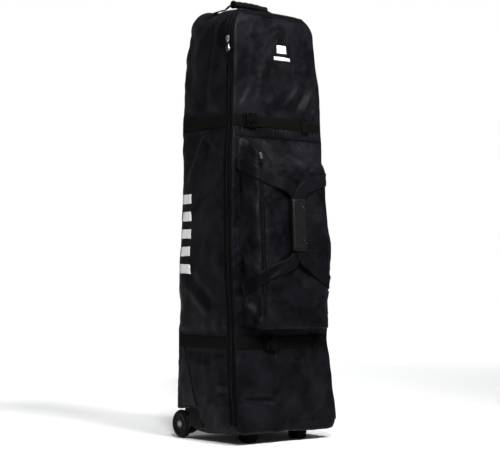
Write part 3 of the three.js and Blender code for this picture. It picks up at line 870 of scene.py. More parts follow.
def lay_folds(points, folds, gain, width_gain, fade):
    """The height at each point of folds that run along straight lines and fade towards their ends."""
    total = np.zeros(len(points))
    for start, end, height, width in folds:
        a = np.array(start)
        line = np.array(end) - a
        t = np.clip(((points - a) @ line) / (line @ line), 0, 1)
        away = np.linalg.norm(points - (a + t[:, None] * line), axis=1)
        ends = 1 - fade * np.abs(2 * t - 1) ** 3
        total += gain * height * fading(away, width * width_gain) * ends
    return total


# Creases and soft folds: start, end, height, width (all in metres); a negative height is a valley.
FOLDS = [
    ((-0.17, 0.02, 1.29), (-0.172, 0.045, 1.145), -0.0080, 0.026),
    ((-0.172, 0.045, 1.145), (-0.174, 0.07, 1.02), -0.0065, 0.022),
    ((-0.17, 0.075, 1.27), (-0.173, 0.10, 1.05), 0.003, 0.026),
    ((-0.165, -0.01, 1.25), (-0.172, 0.02, 1.04), 0.003, 0.022),
    ((-0.176, 0.030, 0.955), (-0.18, 0.118, 0.775), 0.0060, 0.022),
    ((-0.176, 0.066, 0.955), (-0.18, 0.155, 0.80), -0.005, 0.018),
    ((-0.179, -0.035, 0.80), (-0.182, 0.075, 0.72), -0.004, 0.013),
    ((-0.179, -0.02, 0.825), (-0.182, 0.09, 0.745), 0.003, 0.014),
    ((-0.177, -0.03, 0.94), (-0.177, 0.02, 0.90), -0.003, 0.008),
    ((-0.178, -0.035, 0.885), (-0.178, 0.03, 0.935), 0.003, 0.009),
    ((-0.194, 0.016, 0.128), (-0.193, -0.033, 0.172), 0.0035, 0.007),
    ((-0.193, -0.033, 0.172), (-0.193, -0.095, 0.18), 0.003, 0.007),
    ((-0.193, 0.0, 0.125), (-0.193, -0.04, 0.152), -0.003, 0.007),
    ((-0.193, -0.04, 0.152), (-0.193, -0.09, 0.157), -0.003, 0.006),
    ((-0.187, 0.12, 0.52), (-0.185, -0.02, 0.42), -0.003, 0.018),
    ((-0.187, 0.13, 0.49), (-0.185, 0.0, 0.385), 0.003, 0.018),
    ((-0.183, 0.03, 0.66), (-0.185, 0.10, 0.47), -0.0025, 0.02),
    ((-0.183, -0.136, 0.136), (-0.05, -0.136, 0.126), -0.0105, 0.010),
    ((-0.17, -0.136, 0.156), (-0.06, -0.136, 0.150), 0.003, 0.012),
    ((-0.065, -0.13, 0.262), (-0.048, -0.132, 0.185), -0.0035, 0.009),
    ((-0.04, -0.13, 0.268), (-0.03, -0.132, 0.21), 0.003, 0.010),
    ((0.066, -0.13, 0.262), (0.055, -0.132, 0.20), -0.003, 0.010),
    ((0.10, -0.13, 0.262), (0.12, -0.132, 0.19), -0.003, 0.012),
    ((0.02, -0.13, 0.268), (0.015, -0.132, 0.225), -0.0025, 0.008),
    ((0.10, -0.086, 1.12), (0.033, -0.091, 1.02), 0.0035, 0.018),
    ((0.115, -0.086, 1.10), (0.06, -0.091, 1.005), -0.0035, 0.014),
    ((0.14, -0.088, 1.08), (0.098, -0.092, 1.00), 0.003, 0.012),
    ((0.155, -0.088, 1.06), (0.125, -0.092, 1.00), -0.003, 0.010),
    ((-0.11, -0.088, 1.09), (-0.155, -0.09, 1.03), -0.0025, 0.012),
    ((-0.09, -0.088, 1.12), (-0.14, -0.09, 1.03), 0.002, 0.014),
    ((-0.063, -0.086, 1.14), (-0.085, -0.093, 1.01), 0.0025, 0.016),
    ((-0.03, -0.086, 1.17), (-0.05, -0.093, 1.02), -0.002, 0.016),
    ((-0.17, 0.18, 0.80), (0.05, 0.18, 0.66), -0.002, 0.02),
    ((0.15, 0.18, 0.60), (-0.02, 0.18, 0.45), 0.002, 0.02),
    ((0.19, 0.05, 0.66), (0.185, -0.05, 0.55), -0.003, 0.016),
    ((0.175, 0.03, 1.24), (0.175, 0.06, 1.06), -0.004, 0.018),
    ((0.18, 0.05, 0.93), (0.18, 0.14, 0.80), 0.0035, 0.015),
    ((0.193, 0.02, 0.22), (0.193, -0.08, 0.17), -0.003, 0.010),
]
folds = lay_folds(nominal, FOLDS, gain=1.6, width_gain=0.82, fade=0.75)


def soft_noise(points, stretch, seed):
    """Smooth random values from -1 to 1; stretch is how often they change per metre on each axis."""
    shift = Vector((seed, seed * 1.7, -seed))
    return np.array([noise.noise(Vector(p * np.array(stretch)) + shift) for p in points])


SLANT = np.array([[0.8, 0.1, -0.55], [0.1, 0.85, 0.5], [0.6, -0.5, 0.75]])


def small_creases(points, stretch, seed):
    """Sharp slanting creases, from 0 to 0.3, where a slanted noise passes through zero."""
    height = np.abs(soft_noise(points @ SLANT, stretch, seed))
    return (0.3 - height) * (height < 0.3)


wobble = 0.0042 * soft_noise(nominal, (9.0, 9.0, 5.0), 3.1)
wobble += 0.0022 * soft_noise(nominal, (24.0, 24.0, 14.0), 8.4)
folds += 0.0052 * small_creases(nominal, (11.0, 11.0, 30.0), 12.7)
behind_kick_plate = np.where((Y > 0.15) & (Z < 0.23), 0.15, 1.0)
flatter_back = 1 - 0.85 * facing_back
wobble *= 1 - 0.8 * under_handle
push = (push + wobble * flatter_back) * free * steady * behind_kick_plate
skin += n0 * push[:, None]

# Puckers along the zip seams.
zip_line = np.array([zip_at(z) for z in Z])
seam_gap = abs(Y - zip_line - 0.022)
pucker = np.sin(Z * 2 * math.pi / 0.026 + 3 * np.sin(Z * 31)) * fading(seam_gap, 0.012)
skin += n0 * (0.0011 * pucker * facing_side * free)[:, None]


CLOTH = {
    "quality": 4,
    "mass": 0.35,
    "tension_stiffness": 25,
    "compression_stiffness": 12,
    "shear_stiffness": 6,
    "tension_damping": 12,
    "compression_damping": 12,
    "shear_damping": 8,
    "bending_damping": 1.0,
    "air_damping": 4,
    "use_pressure": True,
    "shrink_min": -0.012,
}
CLOTH_FRAMES = 16


def inflate(points, faces, pins, pressure, cap, bending):
    """Blender's cloth, held at its seams and blown up a little; the movement is capped."""
    made = make("sim", points, faces, SHELL)
    held_points = [int(i) for i in np.nonzero(pins)[0]]
    made.vertex_groups.new(name="pin").add(held_points, 1.0, "REPLACE")
    mod = made.modifiers.new("Cloth", "CLOTH")
    settings = mod.settings
    for key, value in CLOTH.items():
        setattr(settings, key, value)
    settings.bending_stiffness = bending
    settings.uniform_pressure_force = pressure
    settings.effector_weights.gravity = 0
    settings.vertex_group_mass = "pin"
    mod.collision_settings.use_collision = False
    mod.collision_settings.use_self_collision = False
    scene.frame_start = mod.point_cache.frame_start = 1
    scene.frame_end = mod.point_cache.frame_end = CLOTH_FRAMES
    for step in range(1, CLOTH_FRAMES + 1):
        scene.frame_set(step)
    graph = bpy.context.evaluated_depsgraph_get()
    result = made.evaluated_get(graph).data
    moved = np.zeros(len(points) * 3)
    result.vertices.foreach_get("co", moved)
    moved = moved.reshape(-1, 3) - points
    bpy.data.objects.remove(made)
    scene.frame_set(1)
    size = np.linalg.norm(moved, axis=1, keepdims=True)
    moved *= cap * np.tanh(size / cap) / np.maximum(size, 1e-9)
    return points + np.nan_to_num(moved)


pinned = free < 0.35
pinned |= abs(Y - zip_line) < 0.024
pinned |= (Z > ZIP_Z - 0.012) & (Y < zip_at(TOP) + 0.03)
pinned |= (under_handle > 0.3) & (Z > 1.25)
pinned |= (to_front < 0.004) | (Z < HEM + 0.002) | in_well | ((Y > 0.16) & (Z < 0.215))
pinned |= (facing_front > 0.6) & (Z > 0.345) & (Z < 0.94) & (abs(X) < 0.165)
skin = inflate(skin, skin_faces, pinned, pressure=2.5, cap=0.005, bending=3.0)
skin = relax(skin, np.where(pinned, 0.0, 1.0), 2, 0.4)
folds *= free * steady * (1 - 0.6 * under_handle) * (1 - 0.7 * fading(seam_gap, 0.008))
skin += point_normals(skin, skin_faces) * folds[:, None]
# Round each wheel well the edge takes the place, seen from above, of the fabric just over it.
for ids in (left_ids, right_ids, back_ids):
    above = next(r for r, z in enumerate(HEIGHTS) if z > WELL_Z + 0.010)
    for r, z in enumerate(HEIGHTS):
        if WELL_Z - 1e-4 < z < HEIGHTS[above]:
            for low_id, high_id in zip(ids[r], ids[above]):
                if in_well[low_id]:
                    skin[low_id, :2] = skin[high_id, :2]
# The edge over each wheel hangs a little below the roof of the well.
rim = in_well & (np.abs(Z - WELL_Z) < 0.005) & ((from_side < 0.004) | (rears - Y < 0.004))
skin[:, 2] -= 0.0070 * rim * smooth((Y - 0.120) / 0.030)
skin_normal = point_normals(skin, skin_faces)
skin_tree = BVHTree.FromPolygons([Vector(p) for p in skin], skin_faces)


def snap(point, lift=0.0):
    """The nearest point of the fabric and its outward normal."""
    where, normal, index, _ = skin_tree.find_nearest(Vector(point))
    normal = Vector(np.mean([skin_normal[v] for v in skin_faces[index]], axis=0)).normalized()
    return np.array(where + normal * lift), np.array(normal)


def snap_all(points, lift=0.0):
    pairs = [snap(p, lift) for p in points]
    return np.array([p for p, _ in pairs]), np.array([n for _, n in pairs])


def shell_part(name, part, *nodes):
    """One part of the fabric skin, thickened inwards and lined."""
    faces = [f for f, p in zip(skin_faces, skin_part) if p == part]
    used = sorted({v for f in faces for v in f})
    index = {v: i for i, v in enumerate(used)}
    made = make(name, skin[used], [[index[v] for v in f] for f in faces], SHELL, extra=[LINING])
    subdivide(made)
    line_inside(made, 0.005)
    finish_piece(made, part, "shell_fabric", *nodes)


shell_part("tub_shell", "tub", "back_panel", "left_gusset", "right_gusset", "top_panel", "bottom_panel")
shell_part("lid_shell", "lid", "front_panel")


# ---------- the main zip: tape on both sides, coil and welts ----------
def zip_route():
    """Points of the zip line and the way towards the tub, from the left hem over the top to the right."""
    rows = [r for r, z in enumerate(HEIGHTS) if 0.0575 < z < ZIP_Z - 1e-6]
    top = [r for r, z in enumerate(HEIGHTS) if abs(z - ZIP_Z) < 1e-6][0]
    line = [left_ids[r][RIM_COLS] for r in rows]
    line += front_ids[top][1:-1]
    line += [right_ids[r][RIM_COLS] for r in reversed(rows)]
    return skin[line]


route = soften(resample(zip_route(), 0.005), 6)
side_way, top_way = np.array([0.0, 1.0, 0.0]), np.array([0.0, 0.835, 0.55])
share = smooth((route[:, 2] - (ZIP_Z - 0.03)) / 0.03)[:, None]
way = unit(side_way * (1 - share) + top_way * share)
route, route_normal = snap_all(route)


def zip_tape(name, sign, width, body, cad_node):
    """One side of the zip's tape; sign is 1 towards the tub and -1 towards the lid."""
    grid = []
    for k in range(5):
        reach = 0.0004 + (width - 0.0004) * k / 4
        line, _ = snap_all(route + sign * way * reach, 0.0004 if k < 4 else 0.0002)
        grid.append(line)
    grid = np.array(grid)
    made = sheet_solid(name, grid, 0.0009, TAPE, flip=sign > 0)
    return finish_piece(made, body, "zip_tape", cad_node)


zip_tape("rear_zip_tape_cloth", 1, 0.019, "tub", "rear_zip_tape")
zip_tape("front_zip_tape_cloth", -1, 0.0135, "lid", "front_zip_tape")


def welt(name, sign, reach, radius, body):
    """A thin raised edge of fabric along the zip."""
    line, _ = snap_all(route + sign * way * reach, radius * 0.35)
    finish_piece(tube(name, soften(line, 2), radius, SHELL), body, "shell_fabric")


welt("rear_zip_welt", 1, 0.0205, 0.0017, "tub")


def coil(name, sign, body, points, normals, ways, pitch=0.0026):
    """The half of a zip's coil that is sewn to one tape."""
    fine = resample(points, pitch)
    which = [int(np.argmin(np.sum((points - p) ** 2, axis=1))) for p in fine]
    t = tangents(fine)
    blocks = []
    for i, (p, k) in enumerate(zip(fine, which)):
        n = normals[k]
        across = unit(ways[k] * sign)
        shift = pitch * (0.25 if sign > 0 else -0.25)
        middle = p + n * 0.0019 + across * 0.0011 + t[i] * shift
        blocks.append(block_at(middle, (across, t[i], n), (0.0040, pitch * 0.42, 0.0013)))
    made = gather(name, blocks, COIL)
    return finish_piece(made, body, "zip_tape")


coil("rear_zip_coil", 1, "tub", route, route_normal, way)
coil("front_zip_coil", -1, "lid", route, route_normal, way)


def zip_stitching(name, sign, reach, body):
    """The row of stitches that holds one side of the zip's tape."""
    line, normal = snap_all(route + sign * way * reach, 0.0013)
    finish_piece(stitches(name, line, normal), body, "shell_fabric")


zip_stitching("rear_zip_stitching", 1, 0.0155, "tub")
zip_stitching("front_zip_stitching", -1, 0.0105, "lid")


# ---------- piping round the front panel ----------
PIPE_Z = 1.3075
pipe = []
for z in np.linspace(0.058, ARC_Z, 170):
    pipe.append((-half_at(z), front_at(z), z))
for a in np.linspace(0, 90, 40)[1:]:
    z = min(ARC_Z + TOP_R * math.sin(math.radians(a)), PIPE_Z)
    x = TOP_HALF + TOP_R * math.cos(math.radians(a))
    pipe.append((-x, front_at(z), z))
for x in np.linspace(-TOP_HALF, 0, 14)[1:]:
    pipe.append((x, front_at(PIPE_Z), PIPE_Z))
pipe = np.array(pipe)
mirror = pipe[::-1][1:] * np.array([-1, 1, 1])
pipe = np.vstack([pipe, mirror])


def corner_shift(points, near_gain, far_gain):
    """The lean of the front corner that is on the same side as each point."""
    near_shift = np.interp(points[:, 2], NEAR_Z, NEAR_SHIFT) * near_gain
    far_shift = np.interp(points[:, 2], FAR_Z, FAR_SHIFT) * far_gain
    return np.where(points[:, 0] < 0, near_shift, far_shift)


pipe[:, 0] += corner_shift(pipe, NEAR_SIDEWAYS, FAR_SIDEWAYS)
pipe[:, 2] += TOP_RAISE * smooth((pipe[:, 2] - TOP_RAISE_FROM) / 0.034)
pipe[:, 1] -= corner_shift(pipe, CORNER_FORWARD, CORNER_FORWARD)
pipe_line, _ = snap_all(soften(resample(pipe, 0.007), 3), 0.0008)
finish_piece(tube("front_piping", soften(pipe_line, 3), 0.0019, SHELL), "lid", "shell_fabric")

# ---------- hem fold between the tub and the lid ----------
hem = []
for z in np.linspace(0.046, 0.066, 9):
    line, _ = snap_all([(x, front_at(z), z) for x in np.linspace(-0.176, 0.176, 60)], 0.0006)
    hem.append(line)
hem_fold = sheet_solid("hem_fold", np.array(hem), 0.0012, SHELL, flip=True)
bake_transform(hem_fold)


# ---------- compression straps ----------
def ring_line(height, part):
    """The strap's line round the tub from zip to zip, or over the lid."""
    r = int(np.argmin([abs(z - height) for z in HEIGHTS]))
    if part == "tub":
        line = left_ids[r][RIM_COLS + 1 :] + back_ids[r][1:-1] + right_ids[r][RIM_COLS + 1 :][::-1]
    else:
        line = left_ids[r][: RIM_COLS - 1][::-1] + front_ids[r][1:-1] + right_ids[r][: RIM_COLS - 1]
    points = skin[line].copy()
    points[:, 2] = height
    return sag(height, points)


def sag(height, points):
    """The upper strap hangs a little lower towards the right front."""
    points = np.array(points, float)
    drop = 0.008 * smooth((points[:, 0] + 0.05) / 0.22) * smooth((0.12 - points[:, 1]) / 0.2)
    points[:, 2] -= drop if height == STRAPS["upper"] else 0
    return points


STRAP_LIFT, STRAP_THICK, STRAP_RIBS = 0.0012, 0.0019, 0.00022


def strap_line(points):
    """Points of a strap on the fabric, with normals that face mostly level."""
    points = soften(resample(points, 0.008), 3)
    normals = np.array([snap(p)[1] for p in points])
    normals[:, 2] *= 0.3
    return points, normals


def strap_band(name, points, body, cad_node):
    """A stretch of cinch strap lying on the fabric."""
    points, normals = strap_line(points)
    for _ in range(3):
        normals[1:-1] = (normals[:-2] + normals[1:-1] * 2 + normals[2:]) / 4
    normals = unit(normals)
    points = points + normals * STRAP_LIFT
    made = ribbon(name, points, normals, STRAP_W, STRAP_THICK, ribs=STRAP_RIBS)
    finish_piece(made, body, "webbing", cad_node)


# Where each buckle's socket and its adjuster begin, from the left.
BUCKLES = {"upper": {"x": -0.124, "adjuster": 0.088}, "lower": {"x": -0.076, "adjuster": 0.108}}
SOCKET_L = 0.030
PLUG_L = 0.014
FOLDED_L = 0.030


def buckle_tail(which, over):
    """The webbing that feeds the plug."""
    height, start = STRAPS[which], BUCKLES[which]["x"]
    last_x = start - 0.001 - PLUG_L + 0.004
    last_y = np.interp(start, over[:, 0], over[:, 1])
    tail = np.vstack([over[over[:, 0] < last_x], [last_x, last_y, height]])
    points, normals = strap_line(tail)
    points = points + unit(normals) * STRAP_LIFT
    made = ribbon(which + "_buckle_tail_webbing", points, normals, STRAP_W, STRAP_THICK, ribs=STRAP_RIBS)
    finish_piece(made, "lid", "webbing", which + "_buckle_tail")
    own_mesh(made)


for which, height in STRAPS.items():
    strap_band(which + "_strap_around", ring_line(height, "tub"), "tub", which + "_strap_rear")
    over_front = ring_line(height, "lid")
    buckle_tail(which, over_front)
    past_socket = over_front[:, 0] > BUCKLES[which]["x"] + SOCKET_L - 0.004
    strap_band(which + "_strap_over_front", over_front[past_socket], "lid", which + "_strap_front")


def front_y(x, z):
    """The fabric's front surface under a point."""
    hit = skin_tree.ray_cast(Vector((x, -0.5, z)), Vector((0, 1, 0)))
    return hit[0].y if hit[0] else front_at(z)


def rounded_outline(half_w, low, high, radius, steps):
    """A rounded rectangle as (across, along), from its right top corner round."""
    points = []
    for side, edge, start in ((1, high, 0), (-1, high, 90), (-1, low, 180), (1, low, 270)):
        middle = edge - radius if edge == high else edge + radius
        for k in range(steps + 1):
            a = math.radians(start + 90 * k / steps)
            points.append((side * (half_w - radius) + radius * math.cos(a), middle + radius * math.sin(a)))
    return points


LID_OUT_NP, LID_UP_NP = np.array(LID_OUT), np.array(LID_UP)


def lid_box(origin, x0, x1, z0, z1, d0, d1):
    """A box in the lid's frame: across, up and outwards from origin."""
    centre = origin + np.array([(x0 + x1) / 2, 0, 0]) + LID_UP_NP * (z0 + z1) / 2 + LID_OUT_NP * (d0 + d1) / 2
    return block_at(centre, ((1, 0, 0), LID_UP_NP, LID_OUT_NP), (x1 - x0, z1 - z0, d1 - d0))


def plastic_boxes(name, origin, boxes, edge, body, cad_node):
    """One moulded piece from boxes in the lid's frame, with rounded edges."""
    made = gather(name, [lid_box(origin, *box) for box in boxes], PLASTIC)
    bevel(made, edge, 3)
    finish_piece(made, body, "plastic", cad_node)


def build_buckle(which, height):
    """A side-release buckle, its webbing and the strap's adjuster."""
    x = BUCKLES[which]["x"]
    middle = x + SOCKET_L / 2
    origin = np.array([middle, front_y(middle, height), height])
    half = SOCKET_L / 2
    # The socket: top and bottom walls, front and back plates, tongue guide, webbing bar and keeper.
    boxes = [
        (-half, half, 0.0195, 0.023, 0.002, 0.0125),
        (-half, half, -0.023, -0.0195, 0.002, 0.0125),
        (-half + 0.010, half, -0.0205, 0.0205, 0.0105, 0.0125),
        (-half + 0.010, half, -0.0205, 0.0205, 0.002, 0.0035),
        (-half, -half + 0.011, -0.0075, 0.0075, 0.0098, 0.0122),
        (half - 0.0035, half, -0.0205, 0.0205, 0.002, 0.0125),
        (half - 0.0100, half - 0.0070, -0.0205, 0.0205, 0.0123, 0.0136),
    ]
    plastic_boxes(which + "_socket_body", origin, boxes, 0.0011, "lid", which + "_buckle_socket")
    origin = np.array([x - 0.001 - PLUG_L / 2, front_y(x, height), height])
    reach = PLUG_L / 2
    # The plug: webbing bar, shoulder, top and bottom rails, two latching arms and the middle tongue.
    boxes = [
        (-reach, -reach + 0.0035, -0.021, 0.021, 0.003, 0.0085),
        (reach - 0.006, reach, -0.021, 0.021, 0.003, 0.0115),
        (-reach, reach, 0.0175, 0.021, 0.003, 0.010),
        (-reach, reach, -0.021, -0.0175, 0.003, 0.010),
        (reach - 0.001, reach + 0.018, 0.0085, 0.0165, 0.005, 0.0095),
        (reach - 0.001, reach + 0.018, -0.0165, -0.0085, 0.005, 0.0095),
        (reach - 0.001, reach + 0.010, -0.003, 0.003, 0.0055, 0.009),
    ]
    plastic_boxes(which + "_plug_body", origin, boxes, 0.0009, which + "_plug", which + "_buckle_plug")
    # The webbing folded back through the socket's bar, under its keeper
    points = []
    for s in np.linspace(0, 1, 9):
        px = x + SOCKET_L - 0.002 + FOLDED_L * s
        points.append((px, front_y(px, height) - 0.0033 - 0.0035 * (1 - s) ** 2, height))
    made = ribbon(which + "_folded_end", points, [LID_OUT_NP] * 9, STRAP_W * 0.98, 0.0018)
    finish_piece(made, "lid", "webbing")
    # The adjuster, with the strap running over its middle bar
    centre = BUCKLES[which]["adjuster"] + 0.013
    height = float(sag(height, [(centre, -0.1, height)])[0][2])
    origin = np.array([centre, front_y(centre, height), height])
    boxes = [
        (-0.013, 0.013, 0.0195, 0.023, 0.003, 0.0090),
        (-0.013, 0.013, -0.023, -0.0195, 0.003, 0.0090),
        (-0.013, -0.0090, -0.022, 0.022, 0.003, 0.0085),
        (0.0090, 0.013, -0.022, 0.022, 0.003, 0.0085),
        (-0.0022, 0.0022, -0.022, 0.022, 0.005, 0.0078),
    ]
    plastic_boxes(which + "_adjuster_frame", origin, boxes, 0.0012, "lid", which + "_adjuster")
    loop = []
    for s in np.linspace(-1, 1, 13):
        rise = 0.0050 * math.exp(-((s * 2.0) ** 2))
        loop.append((centre + 0.0115 * s, front_y(centre, height) - 0.0040 - rise, height))
    made = ribbon(which + "_adjuster_webbing", loop, [LID_OUT_NP] * 13, STRAP_W * 0.96, 0.0017)
    finish_piece(made, "lid", "webbing")


for which, height in STRAPS.items():
    build_buckle(which, height)


# ---------- gathered strip under the upper strap ----------
def gathered_strip():
    """A band of small upright gathers between the pocket and the strap."""
    rows, cols = 9, 150
    grid = []
    for i in range(rows):
        s = i / (rows - 1)
        z = 0.930 + 0.030 * s
        line = []
        for k in range(cols):
            x = -0.168 + 0.336 * k / (cols - 1)
            phase = x * 2 * math.pi / 0.0135 + 1.9 * math.sin(x * 61 + 0.4)
            phase = phase + 1.1 * math.sin(x * 143) + 0.8 * s
            fold = math.sin(phase) * (0.55 + 0.45 * math.sin(x * 37 + 1.1))
            depth = 0.0010 + (0.0014 + 0.0013 * fold) * math.sin(math.pi * min(max(s, 0.04), 0.96))
            line.append((x, front_y(x, z) - depth, z))
        grid.append(line)
    made = sheet_solid("gathered_strip", np.array(grid), 0.0009, SHELL, flip=True)
    return finish_piece(subdivide(made), "lid", "shell_fabric")


gathered_strip()

# ---------- front pocket ----------
POCKET_LOW, POCKET_HIGH, POCKET_TALL = 0.345, 0.930, 0.585
POCKET_HALF = 0.162
POCKET_DEPTH = 0.057
ZIP_X = -0.123


def pocket_depth(x, z):
    """How far the pocket stands off the lid: full behind the zip, sloping at the top, short at the bottom."""
    side = smooth((POCKET_HALF - abs(x)) / (0.030 if x < 0 else 0.040))
    low = smooth((z - POCKET_LOW) / 0.017)
    left = 1 - smooth((x + 0.118) / 0.05)
    ramp_length = 0.055 * left + 0.105 * (1 - left)
    high = smooth((POCKET_HIGH - z) / ramp_length)
    high = 0.45 * high + 0.55 * np.clip((POCKET_HIGH - z) / ramp_length, 0, 1)
    return POCKET_DEPTH * side * low * high


def pocket_axis(parts):
    """Grid lines through stretches of (start, end, number of steps)."""
    out = [parts[0][0]]
    for low, high, count in parts:
        out += list(np.linspace(low, high, count + 1))[1:]
    return out


pocket_x = pocket_axis([(-POCKET_HALF, -0.128, 12), (-0.128, 0.118, 50), (0.118, POCKET_HALF, 13)])
pocket_z = pocket_axis([(POCKET_LOW, 0.365, 12), (0.365, 0.80, 88), (0.80, POCKET_HIGH, 32)])
POCKET_HANG, HANG_BELOW = 0.016, 0.44


def pocket_point(x, z):
    """The pocket's surface over a point of the lid: its belly, its bulging right side, its hanging hem."""
    depth = pocket_depth(x, z)
    full = depth / POCKET_DEPTH
    sink = max(0.0, front_y(x, z) - front_at(z)) * (1 - full)
    arch = max(0.0, math.sin(math.pi * (z - POCKET_LOW) / POCKET_TALL))
    belly = 0.004 * arch**0.5 * math.cos(math.pi * x / 0.34)
    bulge = 0.014 * math.exp(-(((z - 0.56) / 0.085) ** 2)) + 0.005 * smooth((z - 0.52) / 0.1)
    bulge -= 0.006 * math.exp(-(((z - 0.44) / 0.04) ** 2))
    wide = x + bulge * smooth((x - 0.06) / 0.08) * smooth(depth / POCKET_DEPTH / 0.5)
    hang = POCKET_HANG * smooth((HANG_BELOW - z) / 0.07) * depth / POCKET_DEPTH
    return on_lid(wide, depth - sink + belly * depth / POCKET_DEPTH, z - hang)


pocket_grid = np.array([[pocket_point(x, z) for x in pocket_x] for z in pocket_z])

# Folds of the pocket: start and end as (across, up), height and width.
POCKET_FOLDS = [
    ((-0.02, 0.565), (-0.105, 0.50), -0.0045, 0.010),
    ((-0.105, 0.50), (-0.122, 0.40), -0.004, 0.009),
    ((-0.03, 0.545), (-0.11, 0.475), 0.004, 0.012),
    ((-0.155, 0.80), (-0.135, 0.70), -0.005, 0.010),
    ((-0.15, 0.76), (-0.14, 0.66), 0.004, 0.010),
    ((-0.152, 0.47), (-0.137, 0.38), -0.006, 0.009),
    ((-0.142, 0.48), (-0.13, 0.40), 0.004, 0.008),
    ((-0.158, 0.64), (-0.132, 0.55), -0.003, 0.009),
    ((0.05, 0.66), (0.12, 0.52), -0.003, 0.016),
    ((0.02, 0.42), (0.11, 0.44), -0.003, 0.014),
    ((-0.09, 0.43), (0.0, 0.40), 0.003, 0.013),
    ((0.10, 0.70), (0.135, 0.56), 0.003, 0.014),
    ((-0.06, 0.90), (0.06, 0.885), -0.0015, 0.010),
    ((-0.158, 0.43), (-0.134, 0.37), 0.007, 0.008),
    ((-0.138, 0.45), (-0.150, 0.36), -0.007, 0.007),
    ((-0.130, 0.44), (-0.136, 0.37), 0.005, 0.006),
    ((-0.154, 0.56), (-0.136, 0.50), 0.006, 0.009),
    ((-0.148, 0.73), (-0.150, 0.58), -0.005, 0.009),
    ((-0.137, 0.75), (-0.139, 0.60), 0.004, 0.007),
    ((-0.158, 0.80), (-0.146, 0.74), 0.006, 0.008),
    ((-0.10, 0.74), (-0.05, 0.60), -0.0035, 0.012),
    ((-0.09, 0.70), (-0.03, 0.585), 0.0035, 0.012),
    ((0.03, 0.48), (0.09, 0.40), 0.0035, 0.013),
    ((-0.03, 0.47), (0.02, 0.38), -0.003, 0.013),
    ((0.04, 0.86), (0.11, 0.81), 0.003, 0.014),
    ((-0.02, 0.87), (0.06, 0.82), -0.003, 0.014),
]
rows, cols = pocket_grid.shape[:2]
flat = pocket_grid.reshape(-1, 3)
pocket_faces = grid_faces(rows, cols)
plan = np.array([(x, z) for z in pocket_z for x in pocket_x])
stand = np.clip(np.array([pocket_depth(x, z) for x, z in plan]) / POCKET_DEPTH, 0, 1)
lump = lay_folds(plan, POCKET_FOLDS, gain=1.15, width_gain=0.8, fade=0.7)
lump += 0.0022 * soft_noise(flat, (13.0, 13.0, 8.0), 5.5)
lump += 0.0042 * small_creases(flat, (17.0, 17.0, 34.0), 2.9)
rim_fade = smooth(stand / 0.25)
track = fading(plan[:, 0] - ZIP_X, 0.010) * (plan[:, 1] > 0.37)
lump *= rim_fade * (1 - 0.9 * track)
held = (stand < 0.02) | (track > 0.4)
held |= (plan[:, 0] < -0.158) | (plan[:, 0] > 0.158) | (plan[:, 1] < 0.349) | (plan[:, 1] > 0.926)
flat = inflate(flat, pocket_faces, held, pressure=2.0, cap=0.004, bending=1.5)
flat = flat + point_normals(flat, pocket_faces) * lump[:, None]
pocket_grid = flat.reshape(rows, cols, 3)
pocket_tree = BVHTree.FromPolygons([Vector(p) for p in flat], pocket_faces)


def on_pocket(x, z, lift=0.0):
    """The pocket's fabric under a point of the lid's frame."""
    origin = on_lid(x, 0.12, z)
    hit = pocket_tree.ray_cast(origin, -LID_OUT)
    if hit[0] is None:
        return np.array(on_lid(x, lift, z)), np.array(LID_OUT)
    normal = hit[1] if hit[1] @ LID_OUT > 0 else -hit[1]
    return np.array(hit[0] + normal * lift), np.array(normal)


pocket = make("pocket_cover", flat, pocket_faces, SHELL, extra=[LINING])
subdivide(pocket)
line_inside(pocket, 0.003)
outward(pocket)
finish_piece(pocket, "lid", "shell_fabric", "pocket_gusset", "pocket_face")


def pocket_seam(name, points, radius=0.0015, lift=0.0004):
    line = np.array([on_pocket(x, z, lift)[0] for x, z in points])
    return finish_piece(tube(name, soften(line, 2), radius, SHELL), "lid", "shell_fabric")


edge = [(-0.160, z) for z in np.linspace(0.35, 0.922, 90)]
pocket_seam("pocket_left_seam", edge)
pocket_seam("pocket_right_seam", [(-x, z) for x, z in edge])
pocket_seam("pocket_top_seam", [(x, 0.9275) for x in np.linspace(-0.16, 0.16, 60)], 0.0018)
pocket_seam("pocket_bottom_seam", [(x, 0.3555) for x in np.linspace(-0.16, 0.16, 60)], 0.0018)
pocket_seam("pocket_face_piping", [(0.128, z) for z in np.linspace(0.385, 0.86, 80)], 0.0014)
gusset = [on_pocket(-0.149, z, 0.0002) for z in np.linspace(0.37, 0.9, 110)]
gusset_line, gusset_normal = zip(*gusset)
gusset_stitching = stitches("gusset_stitching", gusset_line, gusset_normal, size=0.0012)
finish_piece(gusset_stitching, "lid", "shell_fabric")

# The pocket's zip: straight down the face's left edge, over the slope to the top seam
track_z = np.linspace(0.385, 0.924, 110)
track_points, track_normals = zip(*[on_pocket(ZIP_X, z) for z in track_z])
track_points, track_normals = np.array(track_points), np.array(track_normals)
track_normals = unit(soften(track_normals, 6))
right_way = np.tile([1.0, 0.0, 0.0], (len(track_points), 1))
tape_grid = []
for x in np.linspace(-0.0075, 0.0075, 7):
    tape_grid.append([on_pocket(ZIP_X + x, z, 0.0004)[0] for z in track_z])
pocket_tape = sheet_solid("pocket_zip_cloth", tape_grid, 0.0008, TAPE)
finish_piece(pocket_tape, "lid", "zip_tape", "pocket_zip_tape")
coil("pocket_zip_coil_left", -1, "lid", track_points, track_normals, right_way, 0.0022)
coil("pocket_zip_coil_right", 1, "lid", track_points, track_normals, right_way, 0.0022)
for name, x in (("pocket_zip_welt_left", -0.0085), ("pocket_zip_welt_right", 0.0085)):
    pocket_seam(name, [(ZIP_X + x, z) for z in track_z], 0.0014, 0.0006)

# ---------- carrying straps and wrap ----------
WRAP_LOW, WRAP_HIGH = 0.577, 0.735
OUTERMOST = 0.12
HAUL_LIFT = 0.0014


